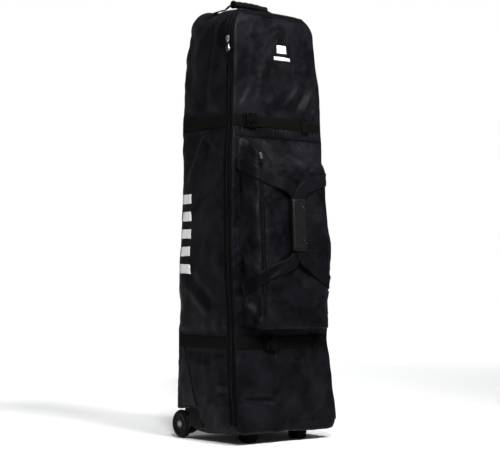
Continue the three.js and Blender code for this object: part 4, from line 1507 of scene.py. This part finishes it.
def drape_depth(x, z):
    """How far the outermost cloth stands off the lid's plane."""
    depths = [0.0]
    for tree in (pocket_tree, skin_tree):
        hit = tree.ray_cast(on_lid(x, OUTERMOST, z), -LID_OUT)
        if hit[0] is not None:
            depths.append(OUTERMOST - hit[3])
    return max(depths) if len(depths) > 1 else 0.0


# The haul straps' middle lines as (distance from the case's middle, height), from the top end to the
# bottom end; -1 is the left strap and 1 the right one.
HAUL_MIDDLE = [(0.036, 0.774), (0.014, 0.757), (0.004, 0.735), (0.003, 0.700), (0.003, 0.656)]
HAUL_MIDDLE += [(0.003, 0.612), (0.004, 0.577), (0.014, 0.555), (0.036, 0.538)]
HAUL_UPPER = {
    -1: [(0.1715, 0.849), (0.163, 0.844), (0.150, 0.830), (0.139, 0.816), (0.115, 0.804), (0.075, 0.789)],
    1: [(0.174, 0.830), (0.163, 0.822), (0.150, 0.812), (0.139, 0.804), (0.115, 0.797), (0.075, 0.786)],
}
HAUL_LOWER = {
    -1: [(0.075, 0.522), (0.115, 0.505), (0.139, 0.492), (0.150, 0.476), (0.158, 0.464), (0.163, 0.4565)],
    1: [(0.075, 0.516), (0.115, 0.493), (0.139, 0.478), (0.150, 0.465), (0.163, 0.450), (0.174, 0.440)],
}


def haul_strap(name, side, depth, cad_node):
    """A carrying strap: it lies on the cloth at its ends and stands off by depth in the wrap."""
    plan_path = HAUL_UPPER[side] + HAUL_MIDDLE + HAUL_LOWER[side]
    line = spline([(side * x, 0.0, z) for x, z in plan_path], 9)
    way_on = tangents(line)
    slope = np.array(
        [
            (pocket_depth(x + 0.004, z) - pocket_depth(x - 0.004, z)) / 0.008
            for x, z in zip(np.clip(line[:, 0], -0.153, 0.153), line[:, 2])
        ]
    )
    stretch = 1 + slope**2
    size = np.sqrt(stretch * way_on[:, 2] ** 2 + stretch**2 * way_on[:, 0] ** 2)
    across = np.stack([way_on[:, 2] / size, np.zeros(len(line)), -stretch * way_on[:, 0] / size], axis=1)
    across = soften(across, 3)
    offsets = np.linspace(-STRAP_W / 2, STRAP_W / 2, 11)
    plan_points = line[:, None, :] + across[:, None, :] * offsets[None, :, None]
    settled = np.zeros(plan_points.shape[:2])
    for i in range(len(line)):
        weight = float(smooth((abs(line[i, 0]) - 0.040) / 0.045))
        for k in range(len(offsets)):
            x, _, z = plan_points[i, k]
            below = drape_depth(x, z) + HAUL_LIFT if weight > 0 else depth
            settled[i, k] = weight * below + (1 - weight) * depth
    floor_depth = settled.copy()
    for _ in range(5):
        settled[1:-1] += 0.5 * ((settled[:-2] + settled[2:]) / 2 - settled[1:-1])
        settled[:, 1:-1] += 0.5 * ((settled[:, :-2] + settled[:, 2:]) / 2 - settled[:, 1:-1])
    outside = np.abs(line[:, 0]) > 0.085
    settled[outside] = np.maximum(settled[outside], floor_depth[outside])
    grid = np.array(
        [
            [np.array(on_lid(p[0], d, p[2])) for p, d in zip(row, depths)]
            for row, depths in zip(plan_points, settled)
        ]
    )
    du, dv = np.gradient(grid, axis=0), np.gradient(grid, axis=1)
    flip = float((np.cross(du, dv) @ LID_OUT_NP).mean()) < 0
    made = sheet_solid(name, grid, 0.0022, HAUL, flip=flip)
    finish_piece(made, "lid", "webbing", cad_node)
    normal = unit(np.cross(du, dv)) * (-1 if flip else 1)
    run = (np.abs(line[:, 0]) > 0.02) & (np.abs(line[:, 0]) < 0.165) & (line[:, 2] < 0.62)
    for label, k in (("a_low", 1), ("b_low", len(offsets) - 2)):
        edge_line = grid[:, k] + normal[:, k] * 0.0024
        made = stitches(name + "_stitch_" + label, edge_line[run], normal[run, k], size=0.0008)
        finish_piece(made, "lid", "webbing")


haul_strap("left_haul_band", -1, 0.076, "left_haul_strap")
haul_strap("right_haul_band", 1, 0.080, "right_haul_strap")


def wrap_sleeve():
    """The closed leather tube that holds the two straps together."""
    outer_rings, inner_rings = [], []
    for k in range(25):
        s = k / 24
        z = WRAP_LOW + (WRAP_HIGH - WRAP_LOW) * s
        pinch = 0.0012 * math.sin(math.pi * s) + 0.0007 * math.sin(s * 29)
        flare = 0.0006 * (abs(2 * s - 1) ** 8)
        outer = rounded_outline(0.0258 + flare, 0.0690, 0.0865 + pinch, 0.008, 10)
        inner = rounded_outline(0.0233, 0.0715, 0.0840, 0.006, 10)
        outer_rings.append([np.array(on_lid(x, d, z)) for x, d in outer])
        inner_rings.append([np.array(on_lid(x, d, z)) for x, d in inner])
    rings = outer_rings + inner_rings[::-1]
    verts, faces = sweep(rings, closed=True)
    made = outward(make("wrap_sleeve", verts, faces, LEATHER))
    return finish_piece(made, "lid", "leatherette", "handle_wrap")


wrap_sleeve()


def wrap_flap():
    """The wrap's front flap, slightly bowed, with a stitched border."""
    grid = []
    for k in range(21):
        s = k / 20
        z = WRAP_LOW + 0.003 + (WRAP_HIGH - WRAP_LOW - 0.006) * s
        line = []
        for i in range(17):
            u = i / 16
            x = -0.0268 + 0.0478 * u
            edge_drop = 0.004 * max(0, (0.12 - u) / 0.12) ** 2 + 0.0022 * max(0, (u - 0.8) / 0.2) ** 2
            line.append(on_lid(x, 0.0886 + 0.0011 * math.sin(math.pi * s) - edge_drop, z))
        grid.append(line)
    made = sheet_solid("wrap_flap_leather", np.array(grid), 0.0017, LEATHER, flip=True)
    bevel(made, 0.0005, 2, 50)
    finish_piece(made, "flap", "leatherette", "wrap_flap")
    border = []
    for x, z in rounded_outline(0.0205, -0.0715, 0.0715, 0.004, 5):
        border.append(np.array(on_lid(-0.0022 + x, 0.0907, 0.656 + z)))
    border.append(border[0])
    border = resample(border, 0.003)
    outwards = [LID_OUT_NP] * len(border)
    made = stitches("wrap_flap_stitching", border, outwards, length=0.003, gap=0.002, size=0.0008)
    finish_piece(made, "flap", "leatherette")


wrap_flap()


def snap_cap(name, z, cad_node):
    """A pressed snap: a domed cap with a rolled rim."""
    profile = [(0.0068, 0.0905), (0.0072, 0.0911), (0.0069, 0.0918), (0.0060, 0.0919)]
    profile += [(0.0054, 0.0915), (0.0045, 0.0921), (0.0024, 0.0926)]
    rings = []
    for r, d in profile:
        rings.append([on_lid(0.014 + r * math.cos(a), d, z + r * math.sin(a)) for a in full_turn(40)])
    verts, faces = sweep(rings)
    made = outward(make(name, verts, faces, GUNMETAL))
    return finish_piece(made, "flap", "metal", cad_node)


snap_cap("upper_snap", 0.708, "upper_snap_cap")
snap_cap("lower_snap", 0.604, "lower_snap_cap")


# ---------- sliders and pulls ----------
def slider_shape(origin, out, side, up, length, width, low, high):
    """A zip slider: a waisted plate with raised flanges and an arched bridge."""
    half_outline = [(0.50, 0.36), (0.42, 0.50), (0.15, 0.50), (-0.15, 0.36), (-0.42, 0.34), (-0.5, 0.22)]
    outline = half_outline + [(along, -across) for along, across in half_outline[::-1]]

    def ring(scale, depth):
        return [
            origin + up * along * length * scale + side * across * width * scale + out * depth
            for along, across in outline
        ]

    return sweep([ring(0.9, low), ring(1, low + 0.0006), ring(1, high - 0.0008), ring(0.88, high)])


def arch_bar(origin, out, side, up, start, end, low, high, half_w):
    """A flat bar arching over a slider, along its length."""
    rings = []
    for k in range(13):
        a = math.pi * k / 12
        along = (start + end) / 2 - (end - start) / 2 * math.cos(a)
        rise = low + (high - low) * math.sin(a) ** 0.6
        centre = origin + up * along + out * rise
        t = unit(up * math.sin(a) * (end - start) / 2 + out * (high - low) * math.cos(a))
        n = unit(np.cross(side, t))
        rings.append(
            [centre + side * half_w * i + n * 0.0007 * j for i, j in ((-1, -1), (1, -1), (1, 1), (-1, 1))]
        )
    return sweep(rings)


def cord_pull(name, top, down, out, side, length, body, cad_node, ring_radius, ring_wide):
    """A wire ring with a looped cord and its moulded end."""
    loop = []
    for a in full_turn(24):
        sideways = side * ring_radius * ring_wide * math.sin(a)
        loop.append(top + down * ring_radius * (1 - math.cos(a)) + sideways)
    finish_piece(tube(name + "_ring", loop, 0.0007, METAL, closed=True), body, "metal")
    start = top + down * ring_radius * 1.7

    def strand(sign):
        """One side of the cord's loop, downwards."""
        points = []
        for k in range(13):
            s = k / 12
            spread = 0.0019 * math.sin(math.pi * min(1, 0.12 + s * 0.95)) + 0.0006
            wave = out * 0.0004 * math.sin(9 * s)
            points.append(start + down * (length - 0.010) * s + side * spread * sign + wave * sign)
        return points

    cord_path = strand(1) + strand(-1)[::-1] + [start - down * 0.0009]
    cord = tube(name + "_cord", cord_path, 0.00115, CORD, closed=True)
    finish_piece(cord, body, "pull_cord", cad_node)
    end = start + down * (length - 0.012)
    rings = []
    for s, w in ((0, 0.7), (0.12, 1.0), (0.5, 1.08), (0.85, 1.0), (1.0, 0.6)):
        centre = end + down * 0.009 * s
        rings.append(
            [
                centre + side * 0.0030 * w * math.cos(a) + out * 0.0019 * w * math.sin(a)
                for a in full_turn(14)
            ]
        )
    verts, faces = sweep(rings)
    finish_piece(outward(make(name + "_end", verts, faces, PLASTIC)), body, "pull_cord")


# The left zip line's own axes.
ZIP_UP = unit([TAPER, LEAN, 1.0])
ZIP_OUT = unit([-1.0, 0.0, TAPER])
ZIP_FORWARD = unit(np.cross(ZIP_UP, ZIP_OUT))


def slider_metal(name, plates, bridge, body, cad_node):
    """A slider's two plates and its bridge as one metal piece."""
    made = gather(name, [*plates, bridge], METAL)
    bevel(made, 0.0003, 2, 40)
    finish_piece(made, body, "metal", cad_node)


def main_slider(which, z, bridge_side, bridge_lift, direction):
    """A slider of the main zip with its pull; the two sliders face each other."""
    origin = np.array([-(HALF - TAPER * z), zip_at(z), z])
    axes = (ZIP_OUT, ZIP_FORWARD, ZIP_UP * direction)
    plates = [
        slider_shape(origin, *axes, 0.022, 0.0115, 0.0021, 0.0046),
        slider_shape(origin, *axes, 0.019, 0.0095, 0.0046, 0.0062),
    ]
    middle = origin + ZIP_FORWARD * 0.0034 * bridge_side
    top = 0.0088 + bridge_lift
    bridge = arch_bar(middle, ZIP_OUT, ZIP_FORWARD, ZIP_UP, -0.0082, 0.0065, 0.0055, top, 0.0014)
    cad_name = "main_" + which + "_"
    slider_metal(cad_name + "slider_body", plates, bridge, which + "_slider", cad_name + "slider")
    low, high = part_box(cad_name + "pull")
    hinge = np.array((low + high) / 2) + ZIP_UP * 0.0185
    axes = (-ZIP_UP, ZIP_OUT, ZIP_FORWARD)
    cord_pull(which + "_zip_pull", hinge, *axes, 0.040, which + "_pull", cad_name + "pull", 0.0045, 0.72)


main_slider("upper", z=1.228, bridge_side=1, bridge_lift=0.005, direction=1)
main_slider("lower", z=1.200, bridge_side=-1, bridge_lift=0.0, direction=-1)


POCKET_SLIDER_Z, POCKET_SLIDER_DEPTH = 0.865, 0.0590


def pocket_slider():
    origin = np.array(on_lid(ZIP_X, POCKET_SLIDER_DEPTH, POCKET_SLIDER_Z))
    sideways = np.array([1.0, 0.0, 0.0])
    axes = (LID_OUT_NP, sideways, LID_UP_NP)
    plates = [
        slider_shape(origin, *axes, 0.017, 0.009, 0.0002, 0.0022),
        slider_shape(origin, *axes, 0.0145, 0.0075, 0.0022, 0.0034),
    ]
    bridge = arch_bar(origin, *axes, -0.0055, 0.006, 0.003, 0.0068, 0.0013)
    slider_metal("pocket_slider_metal", plates, bridge, "pocket_slider_body", "pocket_slider")
    low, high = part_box("pocket_pull")
    hinge = np.array((low + high) / 2) + LID_UP_NP * 0.0085
    axes = (-LID_UP_NP, LID_OUT_NP, sideways)
    cord_pull("pocket_zip_pull", hinge, *axes, 0.020, "pocket_pull_body", "pocket_pull", 0.0037, 0.82)


pocket_slider()


# ---------- top grab handle ----------
def top_handle():
    """The padded grip, the webbing that arches through it, and its stitched anchors on the top."""
    y, z = HANDLE_Y, GRIP_Z
    left_end, right_end = -0.070, 0.058
    above_top = 1.345

    def bow(s):
        """The grip's bend: raised a little in the middle, drooping to the right."""
        return 0.0015 * (1 - s * s) - 0.0045 * (max(0.0, s + 0.2) / 1.2) ** 2

    rings = []
    count = 40
    for k in range(count + 1):
        s = -1 + 2 * k / count
        x = left_end + (right_end - left_end) * (s + 1) / 2
        swell = 1 + 0.05 * math.sin(s * 17) * (1 - s * s) ** 0.3
        r = 0.0118 * swell * (1 - 0.14 * max(0, abs(s) - 0.93) / 0.07)
        ring = []
        for a in full_turn(28):
            flat_side = 1.0 - 0.10 * abs(math.sin(a)) ** 3
            seam_dip = 0.0010 * math.exp(-(((a - 1.5 * math.pi) / 0.14) ** 2))
            radius = r - seam_dip
            ring.append((x, y + radius * math.cos(a), z + bow(s) + radius * math.sin(a) * flat_side))
        rings.append(ring)
    verts, faces = sweep(rings)
    made = outward(make("grip_padding", verts, faces, GRIP))
    finish_piece(made, "top_handle", "handle_grip", "top_handle_grip")
    for name, side in (("left", -1), ("right", 1)):
        start = left_end + 0.004 if side < 0 else right_end - 0.004
        profile = [(0.0035, 0.0), (0.0118, 0.0), (0.0127, 0.001)]
        profile += [(0.0127, 0.0055), (0.0118, 0.0068), (0.0035, 0.0068)]
        profile = [(r, start + side * along) for r, along in profile]
        cap = lathe(name + "_grip_collar", profile, (0, y, z + 0.0002 + bow(side)), WEBBING, 36)
        finish_piece(cap, "top_handle", "webbing")
    seam = [(-0.006 + 0.060 * s, y, z - 0.0106 + bow(s)) for s in np.linspace(-1, 1, 40)]
    finish_piece(stitches("grip_stitching", seam, [(0, 0, -1)] * 40), "top_handle", "handle_grip")
    path = []
    for x, rise in ((-0.1440, 0.0024), (-0.1300, 0.0028), (-0.1180, 0.0050)):
        path.append((x, y, snap((x, y, above_top))[0][2] + rise))
    anchored = [(-x, y, height) for x, y, height in path[::-1]]
    arch = [(-0.1080, 1.3375), (-0.0990, 1.3425), (-0.0900, 1.3500), (-0.0810, 1.3580), (-0.0700, 1.3617)]
    arch += [(-0.0450, 1.3630), (0.0, 1.3635), (0.0350, 1.3610), (0.0560, 1.3580), (0.0700, 1.3545)]
    arch += [(0.0850, 1.3490), (0.0980, 1.3425), (0.1080, 1.3375)]
    points = spline(path + [(x, y, height) for x, height in arch] + anchored, 6)
    slope = tangents(points)
    normals = unit(np.cross(slope, np.cross([0.0, 0.0, 1.0], slope)))
    normals[normals[:, 2] < 0] *= -1
    made = ribbon("handle_arch", points - normals * 0.0011, normals, 0.0215, 0.0022, cols=7)
    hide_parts("top_handle_webbing")
    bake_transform(made)
    for name, side in (("left", -1), ("right", 1)):
        grid = []
        for u in np.linspace(0.112, 0.150, 9):
            across = np.linspace(-0.0145, 0.0145, 7)
            grid.append([snap((side * u, y + v, above_top), 0.0036)[0] for v in across])
        patch = sheet_solid(name + "_handle_anchor", np.array(grid), 0.0016, WEBBING, flip=side < 0)
        bevel(patch, 0.0005, 2, 50)
        finish_piece(patch, "tub", "webbing", name + "_handle_tab")
        box_and_cross = ((0.115, -1), (0.147, -1), (0.147, 1), (0.115, 1), (0.115, -1), (0.147, 1))
        seam = resample([(side * u, y + 0.012 * v, above_top) for u, v in box_and_cross], 0.003)
        made = stitches(name + "_anchor_stitching", *snap_all(seam, 0.0053), length=0.003, gap=0.0015)
        finish_piece(made, "tub", "webbing")


top_handle()

# ---------- wheels ----------
WHEEL_X, WHEEL_Y, WHEEL_R = 0.187, 0.1584, 0.044
BOLT_FACE = 0.1996


def mirrored(profile):
    """A profile of (radius, along) with its mirror image after it."""
    return profile + [(r, -along) for r, along in profile[::-1]]


def facing(profile, face, out):
    """A profile of (radius, depth below a face that looks towards out)."""
    return [(r, face - out * depth) for r, depth in profile]


def wheel(name, side):
    """Tyre, spoked hub, two bearings and the axle bolt."""
    centre = (side * WHEEL_X, WHEEL_Y, WHEEL_R)
    axle = (0, WHEEL_Y, WHEEL_R)
    body = name + "_wheel"
    tread = [(0.0252, -0.0105), (0.0300, -0.0118), (0.0350, -0.0115)]
    for a in np.linspace(-70, 70, 17):
        along = 0.0113 * math.sin(math.radians(a)) / math.sin(math.radians(70)) * 0.98
        tread.append((0.0335 + 0.0105 * math.cos(math.radians(a)), along))
    tread += [(0.0350, 0.0115), (0.0300, 0.0118), (0.0252, 0.0105)]
    finish_piece(lathe(name + "_tyre_tread", tread, centre, TYRE, 72), body, "tyre", name + "_tyre")
    core = [(0.0113, -0.0100), (0.0150, -0.0100), (0.0165, -0.0085), (0.0175, -0.0055)]
    core += [(0.0218, -0.0050), (0.0230, -0.0096), (0.0249, -0.0098)]
    finish_piece(lathe(name + "_hub_core", mirrored(core), centre, HUB, 60), body, "hub", name + "_hub")
    blocks = []
    for k in range(6):
        a = 2 * math.pi * (k + 0.25) / 6
        radial = np.array([0, math.cos(a), math.sin(a)])
        around_axle = np.array([0, -math.sin(a), math.cos(a)])
        middle = np.array(centre) + radial * 0.0196
        blocks.append(block_at(middle, ((1, 0, 0), radial, around_axle), (0.0192, 0.0072, 0.0028)))
    spokes = gather(name + "_hub_spokes", blocks, HUB)
    bevel(spokes, 0.0007, 2)
    finish_piece(spokes, body, "hub")
    races = [(0.0043, 0.0068), (0.0043, 0.0002), (0.0062, 0), (0.0064, 0.0006)]
    races += [(0.0092, 0.0007), (0.0094, 0.0001), (0.0109, 0.0002), (0.0109, 0.0068)]
    for tag, out in (("outer", side), ("inner", -side)):
        profile = facing(races, out * 0.0100, out)
        bearing = lathe(name + "_" + tag + "_bearing_ring", profile, centre, METAL, 48)
        finish_piece(bearing, body, "metal", name + "_bearing_" + tag)
    face = side * BOLT_FACE
    head = [(0.0018, 0.0010), (0.0030, 0.0002), (0.0062, 0), (0.0074, 0.0006)]
    head += [(0.0078, 0.0018), (0.0078, 0.0026), (0.0040, 0.0026)]
    profile = facing(head, face, side) + [(0.0040, side * 0.162), (0.0018, side * 0.162)]
    bolt = lathe(name + "_axle_bolt", profile, axle, METAL, 40)
    finish_piece(bolt, "tub", "metal", name + "_axle")
    recess = facing([(0.0001, 0.0020), (0.0019, 0.0020), (0.0019, 0.0012), (0.0001, 0.0012)], face, side)
    finish_piece(lathe(name + "_axle_socket", recess, axle, PLASTIC, 6), "tub", "metal")


for name, side in (("left", -1), ("right", 1)):
    wheel(name, side)

# ---------- moulded parts kept from the frame ----------
for cad_name, material, width in (
    ("left_foot", FEET, 0.0040),
    ("right_foot", FEET, 0.0040),
    ("back_board", BOARD, 0.0010),
    ("base_board", BOARD, 0.0010),
    ("inner_buckle", PLASTIC, 0.0025),
):
    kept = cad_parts[cad_name]
    kept.data.materials.clear()
    kept.data.materials.append(material)
    bevel(kept, width, 3, 30, weld=True)


def wheel_housing(name):
    """The plastic well round a wheel, drawn in at its roof and at the toe of its inner wall."""
    cad_name = name + "_wheel_housing"
    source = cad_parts[cad_name]
    points = np.array([source.matrix_world @ v.co for v in source.data.vertices])
    roof = (points[:, 2] > 0.090) & (points[:, 1] > 0.106)
    limit = 0.1965 - 0.0185 * np.clip((points[:, 1] - 0.104) / 0.066, 0, 1)
    drawn_in = np.sign(points[:, 0]) * np.minimum(np.abs(points[:, 0]), limit)
    points[:, 0] = np.where(roof, drawn_in, points[:, 0])
    points[:, 1] = np.where(roof, np.minimum(points[:, 1], 0.170), points[:, 1])
    toe = (points[:, 2] < 0.022) & (points[:, 1] < 0.110)
    points[:, 1] = np.where(toe, 0.140, points[:, 1])
    made = make(name + "_wheel_well", points, [tuple(f.vertices) for f in source.data.polygons], PLASTIC)
    bevel(made, 0.0012, 3, 30, weld=True)
    finish_piece(made, "tub", "plastic", cad_name)


wheel_housing("left")
wheel_housing("right")


FOOT_X, FOOT_Y, RIB_Z = 0.097, -0.063, 0.020
RIB_GAP, RIB_LEAN = 0.0085, 0.13


def foot_ribs(name, side):
    """Leaning ribs on a foot's two sides and its front."""
    blocks = []
    for k in range(5):
        y = FOOT_Y + (k - 2) * RIB_GAP
        for turn in (-1, 1):
            centre = (side * FOOT_X + turn * 0.0202, y, RIB_Z)
            axes = ((1, 0, 0), (0, 1, 0), (-turn * RIB_LEAN, 0, 0.99))
            blocks.append(block_at(centre, axes, (0.0022, 0.0032, 0.022)))
    for k in range(4):
        x = side * FOOT_X + (k - 1.5) * RIB_GAP
        axes = ((1, 0, 0), (0, 1, 0), (0, -RIB_LEAN, 0.99))
        blocks.append(block_at((x, -0.0872, RIB_Z), axes, (0.0032, 0.0022, 0.022)))
    made = gather(name + "_foot_ribs", blocks, FEET)
    bevel(made, 0.0006, 2)
    finish_piece(made, "tub", "plastic")


foot_ribs("left", -1)
foot_ribs("right", 1)


def kick_plate():
    """The moulded plate low on the back, with upright ribs and domed rivets."""
    y0 = 0.1806
    shape = [(0.156, 0.044), (0.156, 0.104), (0.184, 0.107), (0.182, 0.196), (0.174, 0.205)]
    outline = shape + [(-x, z) for x, z in shape[::-1]]
    front_ring = [(x, y0, z) for x, z in outline]
    back_ring = [(x, y0 + 0.0026, z) for x, z in outline]
    verts, faces = sweep([front_ring, back_ring])
    made = outward(make("kick_plate_sheet", verts, faces, PLASTIC, shade_smooth=False))
    bevel(made, 0.0010, 3)
    finish_piece(made, "tub", "plastic", "kick_plate")
    blocks = []
    for k in range(9):
        x = (k - 4) * 0.034
        blocks.append(block_at((x, y0 + 0.0033, 0.125), np.eye(3), (0.012, 0.0022, 0.130)))
    ribs = gather("kick_plate_ribs", blocks, PLASTIC)
    bevel(ribs, 0.0009, 3)
    finish_piece(ribs, "tub", "plastic")
    dome = ((0.0052, 0.0026), (0.0050, 0.0034), (0.0036, 0.0042), (0.0016, 0.0045))
    right_places = ((0.170, 0.185), (0.146, 0.060), (0.170, 0.118))
    rivet_places = [(side * x, z) for x, z in right_places for side in (-1, 1)]
    for number, (x, z) in enumerate(rivet_places, 1):
        rings = []
        for r, rise in dome:
            rings.append([(x + r * math.cos(a), y0 + rise, z + r * math.sin(a)) for a in full_turn(24)])
        verts, faces = sweep(rings)
        rivet = outward(make("kick_plate_rivet_%d" % number, verts, faces, METAL))
        finish_piece(rivet, "tub", "metal")


kick_plate()


# ---------- reinforcement patches on the lower rear sides ----------
def side_patch(name, side):
    """A second layer of fabric behind a slanting edge, low on the side."""
    rows, cols = 26, 16
    grid = []
    for i in range(rows):
        z = 0.104 + 0.226 * i / (rows - 1)
        line_y = np.interp(z, [0.104, 0.124, 0.269, 0.33], [0.060, 0.069, 0.133, 0.160])
        end_y = 0.168
        line = []
        for k in range(cols):
            y = line_y + (end_y - line_y) * k / (cols - 1)
            line.append(snap((side * 0.20, y, z), 0.0002)[0])
        grid.append(line)
    made = sheet_solid(name, np.array(grid), 0.0009, SHELL, flip=side < 0)
    finish_piece(made, "tub", "shell_fabric")
    border, _ = snap_all([line[0] for line in grid], 0.0010)
    finish_piece(tube(name + "_edge", soften(border, 2), 0.0013, SHELL), "tub", "shell_fabric")


side_patch("left_rear_patch", -1)
side_patch("right_rear_patch", 1)


# ---------- plain white marks ----------
def mark(name, corners, body, across=6, along=14):
    """A flat printed shape: four corners, wrapped on the fabric."""
    a, b, c, d = [np.array(p, float) for p in corners]
    grid = []
    for i in range(along + 1):
        v = i / along
        shares = np.linspace(0, 1, across + 1)
        line = [(a * (1 - u) + b * u) * (1 - v) + (d * (1 - u) + c * u) * v for u in shares]
        grid.append([snap(p, 0.0006)[0] for p in line])
    finish_piece(sheet_solid(name, grid, 0.0003, PRINT), body, "white_print")


def chest_corners(left, right, low, high):
    y = front_at(1.19)
    return [(left, y, low), (right, y, low), (right, y, high), (left, y, high)]


def side_corners(rear, front, low, high):
    x = -0.186
    return [(x, rear, low), (x, front, low), (x, front, high), (x, rear, high)]


mark("chest_block", chest_corners(-0.004, 0.034, 1.196, 1.222), "lid")
mark("chest_line", chest_corners(-0.018, 0.048, 1.174, 1.184), "lid", across=18, along=4)
BAR_Z, BAR_STEP, BAR_TALL = 0.513, 0.0545, 0.029
for k in range(5):
    z = BAR_Z + k * BAR_STEP
    mark("side_bar_%d" % (k + 1), side_corners(0.158, 0.102, z, z + BAR_TALL), "tub")


# ---------- interior ----------
def interior():
    """The quilted foam under the top and the strap that holds the golf bag."""
    low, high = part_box("crown_pad")
    grid = []
    nx, ny = 25, 21
    for i in range(nx):
        u = -1 + 2 * i / (nx - 1)
        line = []
        for k in range(ny):
            v = -1 + 2 * k / (ny - 1)
            x = (low.x + high.x) / 2 + u * (high.x - low.x) / 2
            y = (low.y + high.y) / 2 + v * (high.y - low.y) / 2
            fall = (1 - abs(u) ** 5) ** 0.5 * (1 - abs(v) ** 5) ** 0.5
            channel = 0.0022 * math.exp(-((v * 3 % 2 - 1) ** 2) * 40)
            line.append((x, y, high.z - 0.004 - (high.z - low.z - 0.005) * fall + channel))
        grid.append(line)
    pad = sheet_solid("crown_padding", grid, 0.004, FOAM)
    finish_piece(pad, "tub", "foam", "crown_pad")
    low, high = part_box("inner_strap")
    y = (low.y + high.y) / 2 + 0.0006
    points = [(x, y, (low.z + high.z) / 2) for x in np.linspace(low.x, high.x, 30)]
    strap = ribbon("inner_strap_webbing", points, [(0, -1, 0)] * 30, STRAP_W, 0.0018)
    finish_piece(strap, "tub", "webbing", "inner_strap")


interior()

# ---------- camera, light and floor ----------
CAMERA_PLACE = (-2.5968, -3.3012, 0.4977)
HEADING, CLIMB = 0.6588, 0.04
LENS_MM = 96.34
FILL = 0.21


def place_camera():
    """The camera looks along HEADING (radians from +Y towards +X) and up by CLIMB."""
    data = bpy.data.cameras.new("camera")
    camera = bpy.data.objects.new("camera", data)
    scene.collection.objects.link(camera)
    forwards = (math.sin(HEADING) * math.cos(CLIMB), math.cos(HEADING) * math.cos(CLIMB), math.sin(CLIMB))
    back = -Vector(forwards)
    right = Vector((math.cos(HEADING), -math.sin(HEADING), 0))
    above = right.cross(-back)
    rows = [(*row, place) for *row, place in zip(right, above, back, CAMERA_PLACE)]
    camera.matrix_world = Matrix((*rows, (0, 0, 0, 1)))
    data.sensor_fit = "HORIZONTAL"
    data.sensor_width = 36
    data.lens = LENS_MM
    data.clip_end = 50
    scene.camera = camera


def studio_world():
    """White where the camera sees it, and a faint cool fill as a light."""
    world = bpy.data.worlds.new("studio")
    scene.world = world
    world.use_nodes = True
    tree = world.node_tree
    backdrop = tree.nodes["Background"]
    set_inputs(backdrop, {"Color": (1, 1, 1, 1), "Strength": 1.0})
    fill = node(tree, "ShaderNodeBackground", Color=(0.95, 0.97, 1, 1), Strength=FILL)
    ray_kind = node(tree, "ShaderNodeLightPath")
    chosen = node(tree, "ShaderNodeMixShader")
    link(tree, ray_kind.outputs["Is Camera Ray"], chosen.inputs["Fac"])
    link(tree, fill.outputs[0], chosen.inputs[1])
    link(tree, backdrop.outputs[0], chosen.inputs[2])
    link(tree, chosen.outputs[0], tree.nodes["World Output"].inputs["Surface"])


place_camera()
studio_world()
scene.view_settings.view_transform = "Standard"


def area_light(name, place, target_z, size, power, spread):
    """A round lamp aimed at the case's middle line, at a height."""
    data = bpy.data.lights.new(name, "AREA")
    data.shape = "DISK"
    data.size = size
    data.energy = power
    data.spread = math.radians(spread)
    lamp = bpy.data.objects.new(name, data)
    scene.collection.objects.link(lamp)
    lamp.location = place
    lamp.rotation_mode = "QUATERNION"
    lamp.rotation_quaternion = (Vector((0, 0, target_z)) - Vector(place)).to_track_quat("-Z", "Y")
    lamp.visible_camera = False


area_light("key", place=(0.1, -2.9, 3.7), target_z=1.25, size=1.5, power=25, spread=50)
area_light("top", place=(0.2, -0.2, 4.2), target_z=0.6, size=2.0, power=76, spread=180)
area_light("side", place=(-1.9, -2.9, 3.0), target_z=0.85, size=0.8, power=25, spread=60)


def map_range(tree, value, values):
    made = node(tree, "ShaderNodeMapRange")
    set_inputs(made, values)
    link(tree, value, made.inputs["Value"])
    return made.outputs[0]


def floor_material():
    """Pale floor, painted a little darker near the case as a soft shade round its foot, and white and glowing
    further out, so that no horizon shows.
    """
    mat, tree, shader = new_material("pale_floor")
    distance = node(tree, "ShaderNodeVectorMath", operation="LENGTH")
    link(tree, node(tree, "ShaderNodeTexCoord").outputs["Object"], distance.inputs[0])
    distance = distance.outputs["Value"]
    # Painted shade: the floor's colour falls from 0.99 far out to 0.80 towards the case.
    shade_near_case = {"From Min": 0.3, "From Max": 3.0, "To Min": 0.80, "To Max": 0.99}
    colour = ramp(tree, map_range(tree, distance, shade_near_case), [(0.0, grey(0.0)), (1.0, grey(1.0))])
    link(tree, colour, shader.inputs["Base Color"])
    glow = map_range(tree, distance, {"From Min": 1.5, "From Max": 5.0, "To Max": 0.84})
    link(tree, glow, shader.inputs["Emission Strength"])
    set_inputs(shader, {"Emission Color": (1, 1, 1, 1), "Roughness": 0.85, "Specular IOR Level": 0.1})
    return mat


bm = bmesh.new()
bmesh.ops.create_circle(bm, cap_ends=True, segments=128, radius=30.0)
floor_mesh = bpy.data.meshes.new("floor")
bm.to_mesh(floor_mesh)
bm.free()
floor_mesh.materials.append(floor_material())
floor = bpy.data.objects.new("floor", floor_mesh)
scene.collection.objects.link(floor)
floor.location.z = -0.0002
